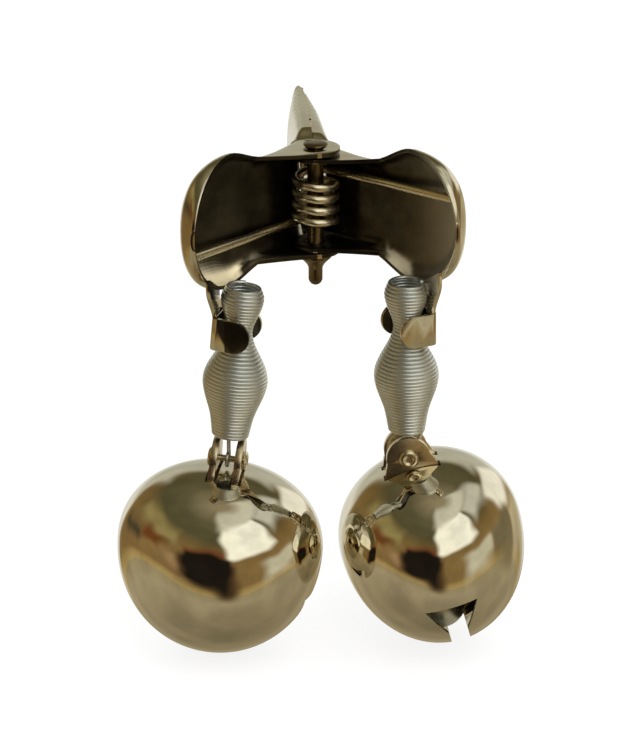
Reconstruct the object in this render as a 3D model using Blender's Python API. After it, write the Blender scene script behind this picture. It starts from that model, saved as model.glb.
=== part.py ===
"""Twin-bell rod clip, in metres, with +Z along the hinge pin.

Two stamped sheet halves turn on a pin and grip a rod between toothed jaws. Each half carries a
barrel-shaped stem spring in a folded crimp, and a slotted pellet bell hangs from each stem on a
riveted bracket. The origin is the middle of the bite. Jaws point to +Y, finger pads to -Y.
"""
import math

import bmesh
import bpy
from mathutils import Matrix, Vector

# Sheet and clearances
SHEET = 0.0005
RUNNING_GAP = 0.0003
EAR_GAP = 0.00025

# Clip, measured from the pin along Y and outwards from the middle plane
GRIP_TO_PIN = 0.0155
JAW_LENGTH = 0.0250
JAW_RISE = 0.0009
JAW_TIP_DROP = 0.0011
JAW_ROOT = 0.0055
JAW_OUT = 0.0023
JAW_BEND = 0.0150
JAW_TIP_OUT = 0.0011
BITE_GAP = 0.00045
TOOTH_COUNT = 8
TOOTH_PITCH = 0.0016
TOOTH_DEPTH = 0.0008
TIP_LAND = 0.0020
EAR_HALF_HEIGHT = 0.0067
EAR_RADIUS = 0.0030
EAR_OUT = 0.0055
NECK_OUT = 0.0088
LIP_START = 0.0039
LIP_START_OUT = 0.0074
PAD_LENGTH = 0.0145
PAD_CENTRE = 0.0072
PAD_HALF_HEIGHT = 0.0084
PAD_LIP_OUT = 0.0108
PAD_WIDEST = 0.0112
PAD_SPREAD = 0.0171
PAD_END_OUT = 0.0160
PAD_END_HALF_HEIGHT = 0.0013

# Hinge pin
PIN_RADIUS = 0.0010
PIN_HEAD_RADIUS = 0.0015
PIN_HEAD_HEIGHT = 0.0004
HEAD_EDGE_SHARE = 0.3
PIN_COLLAR_RADIUS = 0.0020
PIN_COLLAR_LENGTH = 0.0021
PIN_NUB_RADIUS = 0.00088
PIN_NUB_LENGTH = 0.0021

# Torsion spring
COIL_RADIUS = 0.0025
COIL_WIRE = 0.0011
COIL_PITCH = 0.00160
COIL_TURNS = 4
LEG_ANGLE = math.radians(43)
LEG_BEND = 0.06

# Crimp and stem spring
STEM_OUT = 0.0101
STEM_INSET = 0.0040
STEM_REACH = PAD_LENGTH - STEM_INSET
CRIMP_DROP = 0.0129
CRIMP_HALF_HEIGHT = 0.0020
CRIMP_OVERREACH = 0.0020
CRIMP_FOLD_RADIUS = 0.0009
CRIMP_TURN = math.radians(-20)
STRIP_WIDTH = 0.0040
STRIP_ROOT_TURN = math.radians(-20)
STRIP_ROOT_IN = 0.0002
STRIP_STRAIGHTEN = 1.3
LEFT_LEAN = math.radians(5.5)
RIGHT_LEAN = math.radians(1.0)
STEM_WIRE = 0.00055
STEM_PITCH = 0.00098
STEM_TOP = 0.0055
STEM_TOP_RADIUS = 0.0022
STEM_LIP = 0.0042
STEM_LIP_RADIUS = 0.00265
STEM_WAIST_RADIUS = 0.00160
STEM_BARREL = 0.0064
STEM_BARREL_RADIUS = 0.0040
STEM_NECK = 0.0112
STEM_NECK_RADIUS = 0.0027
STEM_BOTTOM = 0.0136
STEM_BOTTOM_RADIUS = 0.0023
CURL_POINTS = 8
EYE_RADIUS = 0.00085
EYE_SWEEP = math.radians(250)

# Bell bracket and rivet
EAR_TOP_RADIUS = 0.0027
BRACKET_GAP = 0.0022
BRACKET_SHEET = 0.0008
BRACKET_FOOT = 0.0066
RIVET_RADIUS = 0.0004
RIVET_HEAD_RADIUS = 0.0012
RIVET_HEAD_HEIGHT = 0.0004
RIVET_HEIGHT = 0.0014

# Bell, with its widest circle as its own level
BELL_RADIUS = 0.0128
BELL_SIDE_RADIUS = 0.0115
DOME_HEIGHT = 0.0101
BOWL_DEPTH = 0.0140
DOME_POWER = 2.15
BOWL_POWER = 2.05
BELL_WALL = 0.00055
SLOT_WIDTH = 0.0024
SLOT_END_WIDTH = 0.0066
SLOT_END_DROP = 0.0046
SLOT_NARROW_DROP = 0.0092
LEFT_SLOT_TURN = math.radians(-12)
RIGHT_SLOT_TURN = math.radians(-90)
RIGHT_BELL_TILT = math.radians(14.5)
BELL_SEGMENTS = 30
DOME_RINGS = 7
BOWL_RINGS = 8
PELLET_RADIUS = 0.0035
PELLET_GAP = 0.0004
PELLET_PIVOT_DROP = 0.0047

PIN_POINT = Vector((0, -GRIP_TO_PIN, 0))
CUTTER_REACH = 2


def clear_scene():
    for old in list(bpy.data.objects):
        bpy.data.objects.remove(old)


def metal(name, colour, roughness):
    """A plated metal with the colour seen in the highlights."""
    made = bpy.data.materials.new(name)
    made.use_nodes = True
    shader = made.node_tree.nodes["Principled BSDF"]
    shader.inputs["Base Color"].default_value = (*colour, 1)
    shader.inputs["Metallic"].default_value = 1
    shader.inputs["Roughness"].default_value = roughness
    return made


def new_mesh(name, points, faces):
    mesh = bpy.data.meshes.new(name)
    mesh.from_pydata([tuple(point) for point in points], [], faces)
    mesh.validate()
    return mesh


def tidy(mesh):
    """Triangulated, with every face pointing out of the body."""
    work = bmesh.new()
    work.from_mesh(mesh)
    bmesh.ops.remove_doubles(work, verts=work.verts, dist=1e-7)
    bmesh.ops.triangulate(work, faces=work.faces)
    bmesh.ops.recalc_face_normals(work, faces=work.faces)
    work.to_mesh(mesh)
    work.free()
    return mesh


def prism(outline, half_depth):
    """A block of the (Y, Z) outline, from -half_depth to +half_depth along X."""
    count = len(outline)
    points = [(side * half_depth, y, z) for side in (-1, 1) for y, z in outline]
    faces = [tuple(range(count)), tuple(range(count, 2 * count))]
    faces += [(k, (k + 1) % count, count + (k + 1) % count, count + k) for k in range(count)]
    return tidy(new_mesh("prism", points, faces))


def lathe(profile, segments):
    """A closed body turned about Z from (radius, z) points that start and end on the axis."""
    points = [(0, 0, profile[0][1])]
    for radius, z in profile[1:-1]:
        for k in range(segments):
            angle = 2 * math.pi * k / segments
            points.append((radius * math.cos(angle), radius * math.sin(angle), z))
    points.append((0, 0, profile[-1][1]))
    last = len(points) - 1
    rings = len(profile) - 2
    faces = []
    for k in range(segments):
        after = (k + 1) % segments
        faces.append((0, 1 + k, 1 + after))
        for ring in range(rings - 1):
            here = 1 + ring * segments
            there = here + segments
            faces.append((here + k, there + k, there + after, here + after))
        base = 1 + (rings - 1) * segments
        faces.append((base + after, base + k, last))
    return tidy(new_mesh("lathe", points, faces))


def turned(mesh, matrix):
    mesh.transform(matrix)
    return mesh


def carved(base, tools, thickness=0):
    """The base mesh, thickened if it is open, then joined to or cut by each tool in turn."""
    scene = bpy.context.scene.collection
    body = bpy.data.objects.new("body", base)
    scene.objects.link(body)
    helpers = []
    if thickness:
        shell = body.modifiers.new("sheet", "SOLIDIFY")
        shell.thickness = thickness
        shell.offset = -1
        shell.use_even_offset = True
    for number, (operation, mesh) in enumerate(tools):
        helper = bpy.data.objects.new("tool", mesh)
        scene.objects.link(helper)
        helper.hide_render = True
        helper.display_type = "WIRE"
        helpers.append(helper)
        step = body.modifiers.new(f"step {number}", "BOOLEAN")
        step.operation = operation
        step.object = helper
        step.solver = "EXACT"
    evaluated = body.evaluated_get(bpy.context.evaluated_depsgraph_get())
    result = bpy.data.meshes.new_from_object(evaluated)
    for helper in [body, *helpers]:
        bpy.data.objects.remove(helper)
    return tidy(result)


def smooth_curve(knots, at):
    """Value at one place on the smooth curve through the knots, with no overshoot."""
    places = [knot[0] for knot in knots]
    values = [knot[1] for knot in knots]
    at = min(max(at, places[0]), places[-1])
    steps = [b - a for a, b in zip(places, places[1:])]
    slopes = [(b - a) / step for a, b, step in zip(values, values[1:], steps)]
    tangents = [slopes[0]]
    for before, after in zip(slopes, slopes[1:]):
        level = before * after <= 0
        tangents.append(0 if level else 2 * before * after / (before + after))
    tangents.append(slopes[-1])
    span = next(k for k in range(len(steps)) if at <= places[k + 1])
    step = steps[span]
    t = (at - places[span]) / step
    rise = values[span] + (values[span + 1] - values[span]) * t * t * (3 - 2 * t)
    leave = step * tangents[span] * t * (1 - t) ** 2
    arrive = step * tangents[span + 1] * t * t * (1 - t)
    return rise + leave - arrive


def ease(t):
    t = min(max(t, 0), 1)
    return t * t * (3 - 2 * t)


def place(point):
    """A point of the clip, given from the pin, in the part's frame."""
    return PIN_POINT + Vector(point)


# The sheet of one clip half, as functions of the distance y from the pin


def web_out(y):
    """Outer face of the web at mid height."""
    knots = (
        (-PAD_LENGTH, PAD_END_OUT),
        (-PAD_WIDEST, PAD_SPREAD),
        (-EAR_RADIUS, NECK_OUT),
        (0, EAR_OUT),
        (JAW_ROOT, JAW_OUT),
        (JAW_BEND, JAW_OUT),
        (JAW_LENGTH, JAW_TIP_OUT),
    )
    return smooth_curve(knots, y)


def bite_line(y):
    """The zigzag between the two rows of teeth, across the middle plane."""
    first = JAW_LENGTH - TIP_LAND - TOOTH_COUNT * TOOTH_PITCH
    phase = (y - first) / TOOTH_PITCH
    if phase <= 0 or phase >= TOOTH_COUNT:
        return 0
    return TOOTH_DEPTH * (0.5 - abs(phase % 1 - 0.5))


def lip_out(y, side):
    """Inner edge of the flanges: pad lip, ear and teeth."""
    if y <= -LIP_START:
        knots = (
            (-PAD_LENGTH, PAD_END_OUT - SHEET),
            (-PAD_CENTRE, PAD_LIP_OUT),
            (-LIP_START, LIP_START_OUT),
        )
        return smooth_curve(knots, y)
    if y <= -EAR_RADIUS:
        return LIP_START_OUT * (y + EAR_RADIUS) / (EAR_RADIUS - LIP_START)
    if y < EAR_RADIUS:
        return -math.sqrt(EAR_RADIUS ** 2 - y ** 2)
    return BITE_GAP / 2 + side * bite_line(y)


def half_height(y, ear_height):
    """Half the distance between the outer faces of the flanges."""
    if y <= -PAD_CENTRE:
        along = (y + PAD_CENTRE) / (PAD_LENGTH - PAD_CENTRE)
        return max(PAD_END_HALF_HEIGHT, PAD_HALF_HEIGHT * math.sqrt(max(0, 1 - along ** 2)))
    if y <= -EAR_RADIUS:
        t = ease((y + PAD_CENTRE) / (PAD_CENTRE - EAR_RADIUS))
        return PAD_HALF_HEIGHT + (ear_height - PAD_HALF_HEIGHT) * t
    if y <= EAR_RADIUS:
        return ear_height
    t = ease((y - EAR_RADIUS) / (JAW_ROOT - EAR_RADIUS))
    height = ear_height + JAW_RISE * t
    t = max(0, (y - (JAW_LENGTH - TIP_LAND)) / TIP_LAND)
    return height - JAW_TIP_DROP * (1 - math.sqrt(max(0, 1 - t * t)))


def squareness(y):
    """How square the section is: a round dish at the pad, a folded channel at ear and jaw."""
    knots = (
        (-PAD_LENGTH, 2.2),
        (-PAD_CENTRE, 2.4),
        (-LIP_START, 7),
        (0, 9),
        (EAR_RADIUS, 7),
        (JAW_ROOT, 4.5),
        (JAW_BEND, 3.2),
        (JAW_LENGTH, 2.6),
    )
    return smooth_curve(knots, y)


def flange_height(out, y, ear_height):
    """Height of the outer face of the flange at one place in plan."""
    lip = lip_out(y, 0)
    depth = web_out(y) - lip
    power = squareness(y)
    share = min(max((out - lip) / depth, 0), 1)
    return half_height(y, ear_height) * (1 - share ** power) ** (1 / power)


def stations():
    """Places along the clip where a section is drawn, closer where it changes faster."""
    pad = 11
    places = []
    for k in range(pad):
        share = 1 - math.cos(math.pi / 2 * k / (pad - 1))
        places.append(-PAD_LENGTH + (PAD_LENGTH - LIP_START) * share)
    places += [-LIP_START + (LIP_START - EAR_RADIUS) * k / 3 for k in (1, 2)]
    places += [-EAR_RADIUS * math.cos(math.pi * k / 10) for k in range(11)]
    root_gap = JAW_ROOT - EAR_RADIUS
    places += [EAR_RADIUS + root_gap * k / 3 for k in (1, 2, 3)]
    first = JAW_LENGTH - TIP_LAND - TOOTH_COUNT * TOOTH_PITCH
    places.append((JAW_ROOT + first) / 2)
    places += [first + TOOTH_PITCH * k / 2 for k in range(2 * TOOTH_COUNT + 1)]
    places += [JAW_LENGTH - TIP_LAND * (1 - share) for share in (0.5, 0.85, 1)]
    return places


def clip_sheet(side, ear_height):
    """The outer face of one half: a section of 13 points at each station."""
    steps = 12
    rows = []
    for y in stations():
        lip = lip_out(y, side)
        depth = web_out(y) - lip
        height = half_height(y, ear_height)
        power = 2 / squareness(y)
        row = []
        for k in range(steps + 1):
            angle = math.pi * (0.5 - k / steps)
            lift = math.copysign(abs(math.sin(angle)) ** power, angle) if k * 2 != steps else 0
            out = lip + depth * abs(math.cos(angle)) ** power if 0 < k < steps else lip
            row.append(place((side * out, y, height * lift)))
        rows.append(row)
    points = [point for row in rows for point in row]
    width = steps + 1
    faces = []
    for i in range(len(rows) - 1):
        for k in range(steps):
            a = i * width + k
            quad = (a, a + 1, a + width + 1, a + width)
            faces.append(quad[::-1] if side < 0 else quad)
    return new_mesh("sheet", points, faces)


# Crimp, strip and stem


def stem_radius(drop):
    """Outer radius of the stem spring, at a distance below its waist."""
    knots = (
        (-STEM_TOP, STEM_TOP_RADIUS),
        (-STEM_LIP, STEM_LIP_RADIUS),
        (0, STEM_WAIST_RADIUS),
        (STEM_BARREL, STEM_BARREL_RADIUS),
        (STEM_NECK, STEM_NECK_RADIUS),
        (STEM_BOTTOM, STEM_BOTTOM_RADIUS),
    )
    return smooth_curve(knots, drop)


def crimp_gap():
    """Distance from the stem's axis to the inner faces of the crimp."""
    widest = max(stem_radius(-CRIMP_HALF_HEIGHT), stem_radius(CRIMP_HALF_HEIGHT))
    return widest + RUNNING_GAP


def stem_frame(side):
    """The stem's frame: origin in the crimp, +Z up the stem, leaning outwards going down."""
    lean = LEFT_LEAN if side < 0 else RIGHT_LEAN
    origin = place((side * STEM_OUT, -STEM_REACH, -CRIMP_DROP))
    return Matrix.Translation(origin) @ Matrix.Rotation(-side * lean, 4, "Y")


def crimp_matrix(side):
    """Turns a body with +X along the strip's width and +Y towards the stem into place."""
    turn = side * (math.pi / 2 - CRIMP_TURN)
    return stem_frame(side) @ Matrix.Rotation(turn, 4, "Z")


def fold_column(half, radius):
    """An upright column round the stem, with its two corners on the strip's side rounded."""
    far = half * CUTTER_REACH
    arc = 4
    outline = [(half, far)]
    for turn in (0, 1):
        centre = (half - radius) * (1 - 2 * turn)
        for k in range(arc + 1):
            angle = -math.pi / 2 * (turn + k / arc)
            x = centre + radius * math.cos(angle)
            outline.append((x, radius - half + radius * math.sin(angle)))
    outline.append((-half, far))
    upright = Matrix(((0, 1, 0, 0), (0, 0, 1, 0), (1, 0, 0, 0), (0, 0, 0, 1)))
    return turned(prism(outline, CRIMP_HALF_HEIGHT * CUTTER_REACH), upright)


def crimp_block():
    """The folded crimp before its hollow is cut: rounded folds, and a round free end."""
    half = crimp_gap() + SHEET
    centre = CRIMP_OVERREACH - CRIMP_HALF_HEIGHT
    outline = [(-half, -CRIMP_HALF_HEIGHT)]
    arc = 12
    for k in range(arc + 1):
        angle = math.pi * (k / arc - 0.5)
        y = centre + CRIMP_HALF_HEIGHT * math.cos(angle)
        outline.append((y, CRIMP_HALF_HEIGHT * math.sin(angle)))
    outline.append((-half, CRIMP_HALF_HEIGHT))
    folded = ("INTERSECT", fold_column(half, CRIMP_FOLD_RADIUS))
    return carved(prism(outline, half), [folded])


def crimp_hollow():
    return fold_column(crimp_gap(), CRIMP_FOLD_RADIUS - SHEET)


def strip(side, ear_height):
    """The strip from the pad's lower lip to the crimp, twisted to face the stem."""
    steps = 7
    frame = crimp_matrix(side)
    foot = Vector((0, -crimp_gap() - SHEET / 2, CRIMP_HALF_HEIGHT - SHEET))
    foot_centre = frame @ foot
    foot_width = (frame.to_3x3() @ Vector((1, 0, 0))).normalized()
    root_out = lip_out(-STEM_REACH, 0) + STRIP_ROOT_IN
    root_centre = place((side * root_out, -STEM_REACH, 0))
    root_width = Vector((math.sin(STRIP_ROOT_TURN) * side, math.cos(STRIP_ROOT_TURN), 0))
    if foot_width.dot(root_width) < 0:
        root_width.negate()
    rows = []
    for k in range(steps):
        t = k / (steps - 1)
        width = foot_width.lerp(root_width, ease(t)).normalized()
        normal = width.cross(Vector((0, 0, 1))).normalized()
        middle = foot_centre.lerp(root_centre, ease(t * STRIP_STRAIGHTEN))
        row = []
        for across, through in ((-1, -1), (1, -1), (1, 1), (-1, 1)):
            row.append(middle + width * across * STRIP_WIDTH / 2 + normal * through * SHEET / 2)
        rows.append(row)
    for j, end in enumerate(rows[-1]):
        top = SHEET / 2 - flange_height(abs(end.x), end.y - PIN_POINT.y, ear_height)
        for k, row in enumerate(rows):
            row[j].z = foot_centre.z + (top - foot_centre.z) * k / (steps - 1)
    points = [point for row in rows for point in row]
    faces = [(3, 2, 1, 0), tuple(range(4 * steps - 4, 4 * steps))]
    for k in range(steps - 1):
        for j in range(4):
            a = 4 * k + j
            b = 4 * k + (j + 1) % 4
            faces.append((a, b, b + 4, a + 4))
    return tidy(new_mesh("strip", points, faces))


def pin_hole():
    reach = EAR_HALF_HEIGHT * CUTTER_REACH
    hole = PIN_RADIUS + EAR_GAP
    profile = [(0, -reach), (hole, -reach), (hole, reach), (0, reach)]
    return turned(lathe(profile, 20), Matrix.Translation(PIN_POINT))


def clip_half(side):
    """One stamped half: pad, flanges, ears and toothed jaw, with its strip and crimp."""
    ear_height = EAR_HALF_HEIGHT
    if side > 0:
        ear_height -= SHEET + EAR_GAP
    frame = crimp_matrix(side)
    tools = [
        ("DIFFERENCE", pin_hole()),
        ("UNION", strip(side, ear_height)),
        ("UNION", turned(crimp_block(), frame)),
        ("DIFFERENCE", turned(crimp_hollow(), frame)),
    ]
    return carved(clip_sheet(side, ear_height), tools, SHEET)


def hinge_pin():
    """Pin with a low top head, and a flared collar and domed nub below."""
    top = EAR_HALF_HEIGHT + EAR_GAP
    collar_end = -top - PIN_COLLAR_LENGTH
    nub_middle = collar_end - PIN_NUB_LENGTH + PIN_NUB_RADIUS
    profile = [(0, top + PIN_HEAD_HEIGHT)]
    for k in (1, 2, 3):
        angle = math.pi / 2 * k / 3
        height = PIN_HEAD_HEIGHT * (HEAD_EDGE_SHARE + (1 - HEAD_EDGE_SHARE) * math.cos(angle))
        profile.append((PIN_HEAD_RADIUS * math.sin(angle), top + height))
    profile += [(PIN_HEAD_RADIUS, top), (PIN_RADIUS, top), (PIN_RADIUS, -top)]
    profile += [(PIN_COLLAR_RADIUS, -top), (PIN_COLLAR_RADIUS, -top - SHEET)]
    for k in (1, 2, 3):
        t = k / 4
        radius = PIN_COLLAR_RADIUS + (PIN_NUB_RADIUS - PIN_COLLAR_RADIUS) * math.sin(math.pi / 2 * t)
        profile.append((radius, -top - SHEET - (PIN_COLLAR_LENGTH - SHEET) * t))
    profile.append((PIN_NUB_RADIUS, collar_end))
    profile.append((PIN_NUB_RADIUS, nub_middle))
    for k in (1, 2, 3):
        angle = math.pi / 2 * k / 4
        radius = PIN_NUB_RADIUS * math.cos(angle)
        profile.append((radius, nub_middle - PIN_NUB_RADIUS * math.sin(angle)))
    profile.append((0, nub_middle - PIN_NUB_RADIUS))
    return lathe(profile[::-1], 16)


# Wire forms


def wire(name, points, diameter, material, parent):
    """A round wire along the points, and the least gap to itself."""
    curve = bpy.data.curves.new(name, "CURVE")
    curve.dimensions = "3D"
    line = curve.splines.new("POLY")
    line.points.add(len(points) - 1)
    for target, point in zip(line.points, points):
        target.co = (*point, 1)
    curve.bevel_depth = diameter / 2
    curve.bevel_resolution = 1
    curve.use_fill_caps = True
    curve.materials.append(material)
    made = bpy.data.objects.new(name, curve)
    bpy.context.scene.collection.objects.link(made)
    made.parent = parent
    print(name, "least gap to itself", round(least_gap(points, diameter) * 1000, 3), "mm")
    return made


def least_gap(points, diameter):
    """Least distance between stretches of wire over four diameters apart along it."""
    lengths = [0]
    for a, b in zip(points, points[1:]):
        lengths.append(lengths[-1] + (b - a).length)
    least = lengths[-1]
    for i, a in enumerate(points):
        for j in range(i + 1, len(points)):
            if lengths[j] - lengths[i] > 4 * diameter:
                least = min(least, (points[j] - a).length)
    return least - diameter


def pad_clearance(point, side):
    """Distance in plan from a point inside the clip to the inner face of the web."""
    nearest = PAD_LENGTH
    for k in range(60):
        y = -PAD_LENGTH + PAD_LENGTH * k / 60
        dish = flange_share(point.z, y)
        out = lip_out(y, side) + (web_out(y) - lip_out(y, side)) * dish - SHEET
        nearest = min(nearest, math.hypot(side * point.x - out, point.y - y))
    return nearest


def flange_share(z, y):
    """Share of the channel's depth that its outer face has at height z."""
    power = squareness(y)
    share = min(abs(z) / half_height(y, EAR_HALF_HEIGHT), 1)
    return (1 - share ** power) ** (1 / power)


def torsion_points():
    """From the right pad's leg, round the pin and down, to the left pad's leg."""
    height = COIL_TURNS * COIL_PITCH
    start = math.pi / 2 - LEG_ANGLE
    sweep = 2 * LEG_ANGLE + 2 * math.pi * COIL_TURNS
    count = round(CURL_POINTS * sweep / (2 * math.pi))
    coil = []
    for k in range(count + 1):
        angle = start + sweep * k / count
        x = COIL_RADIUS * math.cos(angle)
        y = COIL_RADIUS * math.sin(angle)
        coil.append(Vector((x, y, height / 2 - height * k / count)))
    ends = []
    for side, root in ((1, coil[0]), (-1, coil[-1])):
        direction = Vector((side * math.cos(LEG_ANGLE), -math.sin(LEG_ANGLE), 0))
        length = PAD_LENGTH / 2
        step = COIL_WIRE / 4
        while length < 2 * PAD_SPREAD:
            tip = root + direction * (length + step)
            if pad_clearance(tip, side) < COIL_WIRE / 2 + RUNNING_GAP:
                break
            length += step
        ends.append([root + direction * length * share for share in (1, 0.5, LEG_BEND)])
    return ends[0] + coil + ends[1][::-1]


def stem_points(azimuth):
    """From the open top, down the barrel, in to the side of the eye and round the rivet."""
    height = STEM_TOP + STEM_BOTTOM
    turns = height / STEM_PITCH
    start = azimuth - 2 * math.pi * turns
    count = round(turns * CURL_POINTS)
    points = []
    for k in range(count + 1):
        t = k / count
        drop = -STEM_TOP + height * t
        radius = stem_radius(drop) - STEM_WIRE / 2
        angle = start + 2 * math.pi * turns * t
        points.append(Vector((radius * math.cos(angle), radius * math.sin(angle), -drop)))
    lead = points[0] - points[1]
    points.insert(0, points[0] + lead.normalized() * STEM_WIRE)
    rivet = rivet_drop()
    last = STEM_BOTTOM_RADIUS - STEM_WIRE / 2
    across = Vector((math.cos(azimuth), math.sin(azimuth), 0))
    ahead = Vector((-math.sin(azimuth), math.cos(azimuth), 0))
    turn_in = 6
    for k in range(1, turn_in + 1):
        angle = math.pi / 2 * k / turn_in
        inward = last + (EYE_RADIUS - last) * (1 - math.cos(angle))
        forward = STEM_PITCH * math.sin(angle) * (1 - k / turn_in)
        fall = STEM_BOTTOM + (rivet - STEM_BOTTOM) * (k / turn_in) ** 1.5
        points.append(across * inward + ahead * forward + Vector((0, 0, -fall)))
    loop = 10
    for k in range(1, loop + 1):
        angle = EYE_SWEEP * k / loop
        side = across * EYE_RADIUS * math.cos(angle)
        points.append(side + Vector((0, 0, -rivet - EYE_RADIUS * math.sin(angle))))
    tangent = points[-1] - points[-2]
    points.append(points[-1] + tangent.normalized() * STEM_WIRE)
    return points


# Bell assembly, in a frame at the rivet with +X along the rivet and the slot


def rivet_drop():
    """From the crimp's middle down to the rivet."""
    return STEM_BOTTOM + STEM_WIRE / 2 + RUNNING_GAP + EAR_TOP_RADIUS


def bell_frame(side):
    rivet = Matrix.Translation((0, 0, -rivet_drop()))
    turn = LEFT_SLOT_TURN if side < 0 else RIGHT_SLOT_TURN
    tilt = 0 if side < 0 else RIGHT_BELL_TILT
    spin = Matrix.Rotation(turn, 4, "Z") @ Matrix.Rotation(tilt, 4, "X")
    return stem_frame(side) @ rivet @ spin


def bell_level():
    """Height of the bell's widest circle in the rivet's frame."""
    return -RIVET_HEIGHT - DOME_HEIGHT


def bell_body(wall):
    """The solid inside the bell's face, or inside its cavity when wall is its thickness."""
    dome = DOME_HEIGHT - wall
    bowl = BOWL_DEPTH - wall
    profile = [(0, dome)]
    for k in range(1, DOME_RINGS):
        angle = math.pi / 2 * (1 - k / DOME_RINGS)
        lift = math.sin(angle) ** (2 / DOME_POWER)
        profile.append((math.cos(angle) ** (2 / DOME_POWER), dome * lift))
    profile.append((1, 0))
    for k in range(1, BOWL_RINGS):
        angle = math.pi / 2 * k / BOWL_RINGS
        lift = math.sin(angle) ** (2 / BOWL_POWER)
        profile.append((math.cos(angle) ** (2 / BOWL_POWER), -bowl * lift))
    profile.append((0, -bowl))
    mesh = lathe(profile[::-1], BELL_SEGMENTS)
    stretch = Matrix.Diagonal((BELL_RADIUS - wall, BELL_SIDE_RADIUS - wall, 1, 1))
    return turned(mesh, Matrix.Translation((0, 0, bell_level())) @ stretch)


def slot_tool():
    """The slot across the bowl, which widens where it runs up the ends."""
    level = bell_level()
    narrow = SLOT_WIDTH / 2
    wide = SLOT_END_WIDTH / 2
    deep = level - BOWL_DEPTH * CUTTER_REACH
    outline = [
        (-narrow, deep),
        (narrow, deep),
        (narrow, level - SLOT_NARROW_DROP),
        (wide, level - SLOT_END_DROP),
        (-wide, level - SLOT_END_DROP),
        (-narrow, level - SLOT_NARROW_DROP),
    ]
    return prism(outline, BELL_RADIUS * CUTTER_REACH)


def box(centre, size):
    half = [value / 2 for value in size]
    outline = [(-half[1], -half[2]), (half[1], -half[2]), (half[1], half[2]), (-half[1], half[2])]
    return turned(prism(outline, half[0]), Matrix.Translation(centre))


def strap_slits():
    """Two slits through the crown for the bracket's legs."""
    middle = (BRACKET_GAP + BRACKET_SHEET) / 2
    size = (
        BRACKET_SHEET + 2 * RUNNING_GAP,
        BRACKET_FOOT + 2 * RUNNING_GAP,
        DOME_HEIGHT,
    )
    return [box((side * middle, 0, -RIVET_HEIGHT), size) for side in (-1, 1)]


def bell_shell():
    tools = [("DIFFERENCE", bell_body(BELL_WALL)), ("DIFFERENCE", slot_tool())]
    tools += [("DIFFERENCE", slit) for slit in strap_slits()]
    return carved(bell_body(0), tools)


def crown_sag():
    """How far the crown falls away under the corners of the bracket."""
    share = math.hypot(BRACKET_FOOT / 2 / BELL_SIDE_RADIUS, BRACKET_GAP / 2 / BELL_RADIUS)
    return DOME_HEIGHT * (1 - math.sqrt(1 - share ** 2))


def bracket():
    """Strap folded to a U under the crown, with its two ears outside round the rivet."""
    base_top = -RIVET_HEIGHT - BELL_WALL - RUNNING_GAP - crown_sag()
    base = base_top - BRACKET_SHEET
    foot = BRACKET_FOOT / 2
    outline = [(-foot, base), (foot, base), (foot, -RIVET_HEIGHT)]
    arc = 12
    for k in range(arc + 1):
        angle = math.pi * k / arc
        outline.append((EAR_TOP_RADIUS * math.cos(angle), EAR_TOP_RADIUS * math.sin(angle)))
    outline.append((-foot, -RIVET_HEIGHT))
    block = prism(outline, BRACKET_GAP / 2 + BRACKET_SHEET)
    top = EAR_TOP_RADIUS * CUTTER_REACH
    hollow_size = (BRACKET_GAP, BRACKET_FOOT * CUTTER_REACH, top - base_top)
    hollow = box((0, 0, (top + base_top) / 2), hollow_size)
    reach = BRACKET_GAP * CUTTER_REACH
    hole_radius = RIVET_RADIUS + RUNNING_GAP / 2
    hole = lathe([(0, -reach), (hole_radius, -reach), (hole_radius, reach), (0, reach)], 16)
    across = Matrix.Rotation(math.pi / 2, 4, "Y")
    return carved(block, [("DIFFERENCE", hollow), ("DIFFERENCE", turned(hole, across))])


def rivet():
    """Rivet along X with a low domed head at each end."""
    grip = BRACKET_GAP / 2 + BRACKET_SHEET + RUNNING_GAP / 2
    head = []
    for k in (1, 2, 3):
        angle = math.pi / 2 * k / 3
        height = RIVET_HEAD_HEIGHT * (HEAD_EDGE_SHARE + (1 - HEAD_EDGE_SHARE) * math.cos(angle))
        head.append((RIVET_HEAD_RADIUS * math.sin(angle), grip + height))
    upper = [(0, grip + RIVET_HEAD_HEIGHT)] + head
    upper += [(RIVET_HEAD_RADIUS, grip), (RIVET_RADIUS, grip)]
    lower = [(radius, -z) for radius, z in upper]
    return turned(lathe(lower + upper[::-1], 16), Matrix.Rotation(math.pi / 2, 4, "Y"))


def pellet_arc():
    """Radius of the path of the pellet's centre over the floor of the bowl."""
    return BOWL_DEPTH - BELL_WALL - PELLET_RADIUS - PELLET_GAP - PELLET_PIVOT_DROP


def pellet():
    profile = []
    rings = 11
    for k in range(rings + 1):
        angle = math.pi * (k / rings - 0.5)
        radius = 0 if k in (0, rings) else PELLET_RADIUS * math.cos(angle)
        profile.append((radius, PELLET_RADIUS * math.sin(angle)))
    return lathe(profile, 20)


# Assembly


def axis_empty(name, matrix):
    empty = bpy.data.objects.new(name, None)
    bpy.context.scene.collection.objects.link(empty)
    empty.matrix_world = matrix
    return empty


def add(name, mesh, material, parent, location=(0, 0, 0)):
    mesh.materials.clear()
    mesh.materials.append(material)
    mesh.shade_smooth()
    mesh.set_sharp_from_angle(angle=math.radians(32))
    made = bpy.data.objects.new(name, mesh)
    bpy.context.scene.collection.objects.link(made)
    made.parent = parent
    made.location = location
    return made


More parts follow.
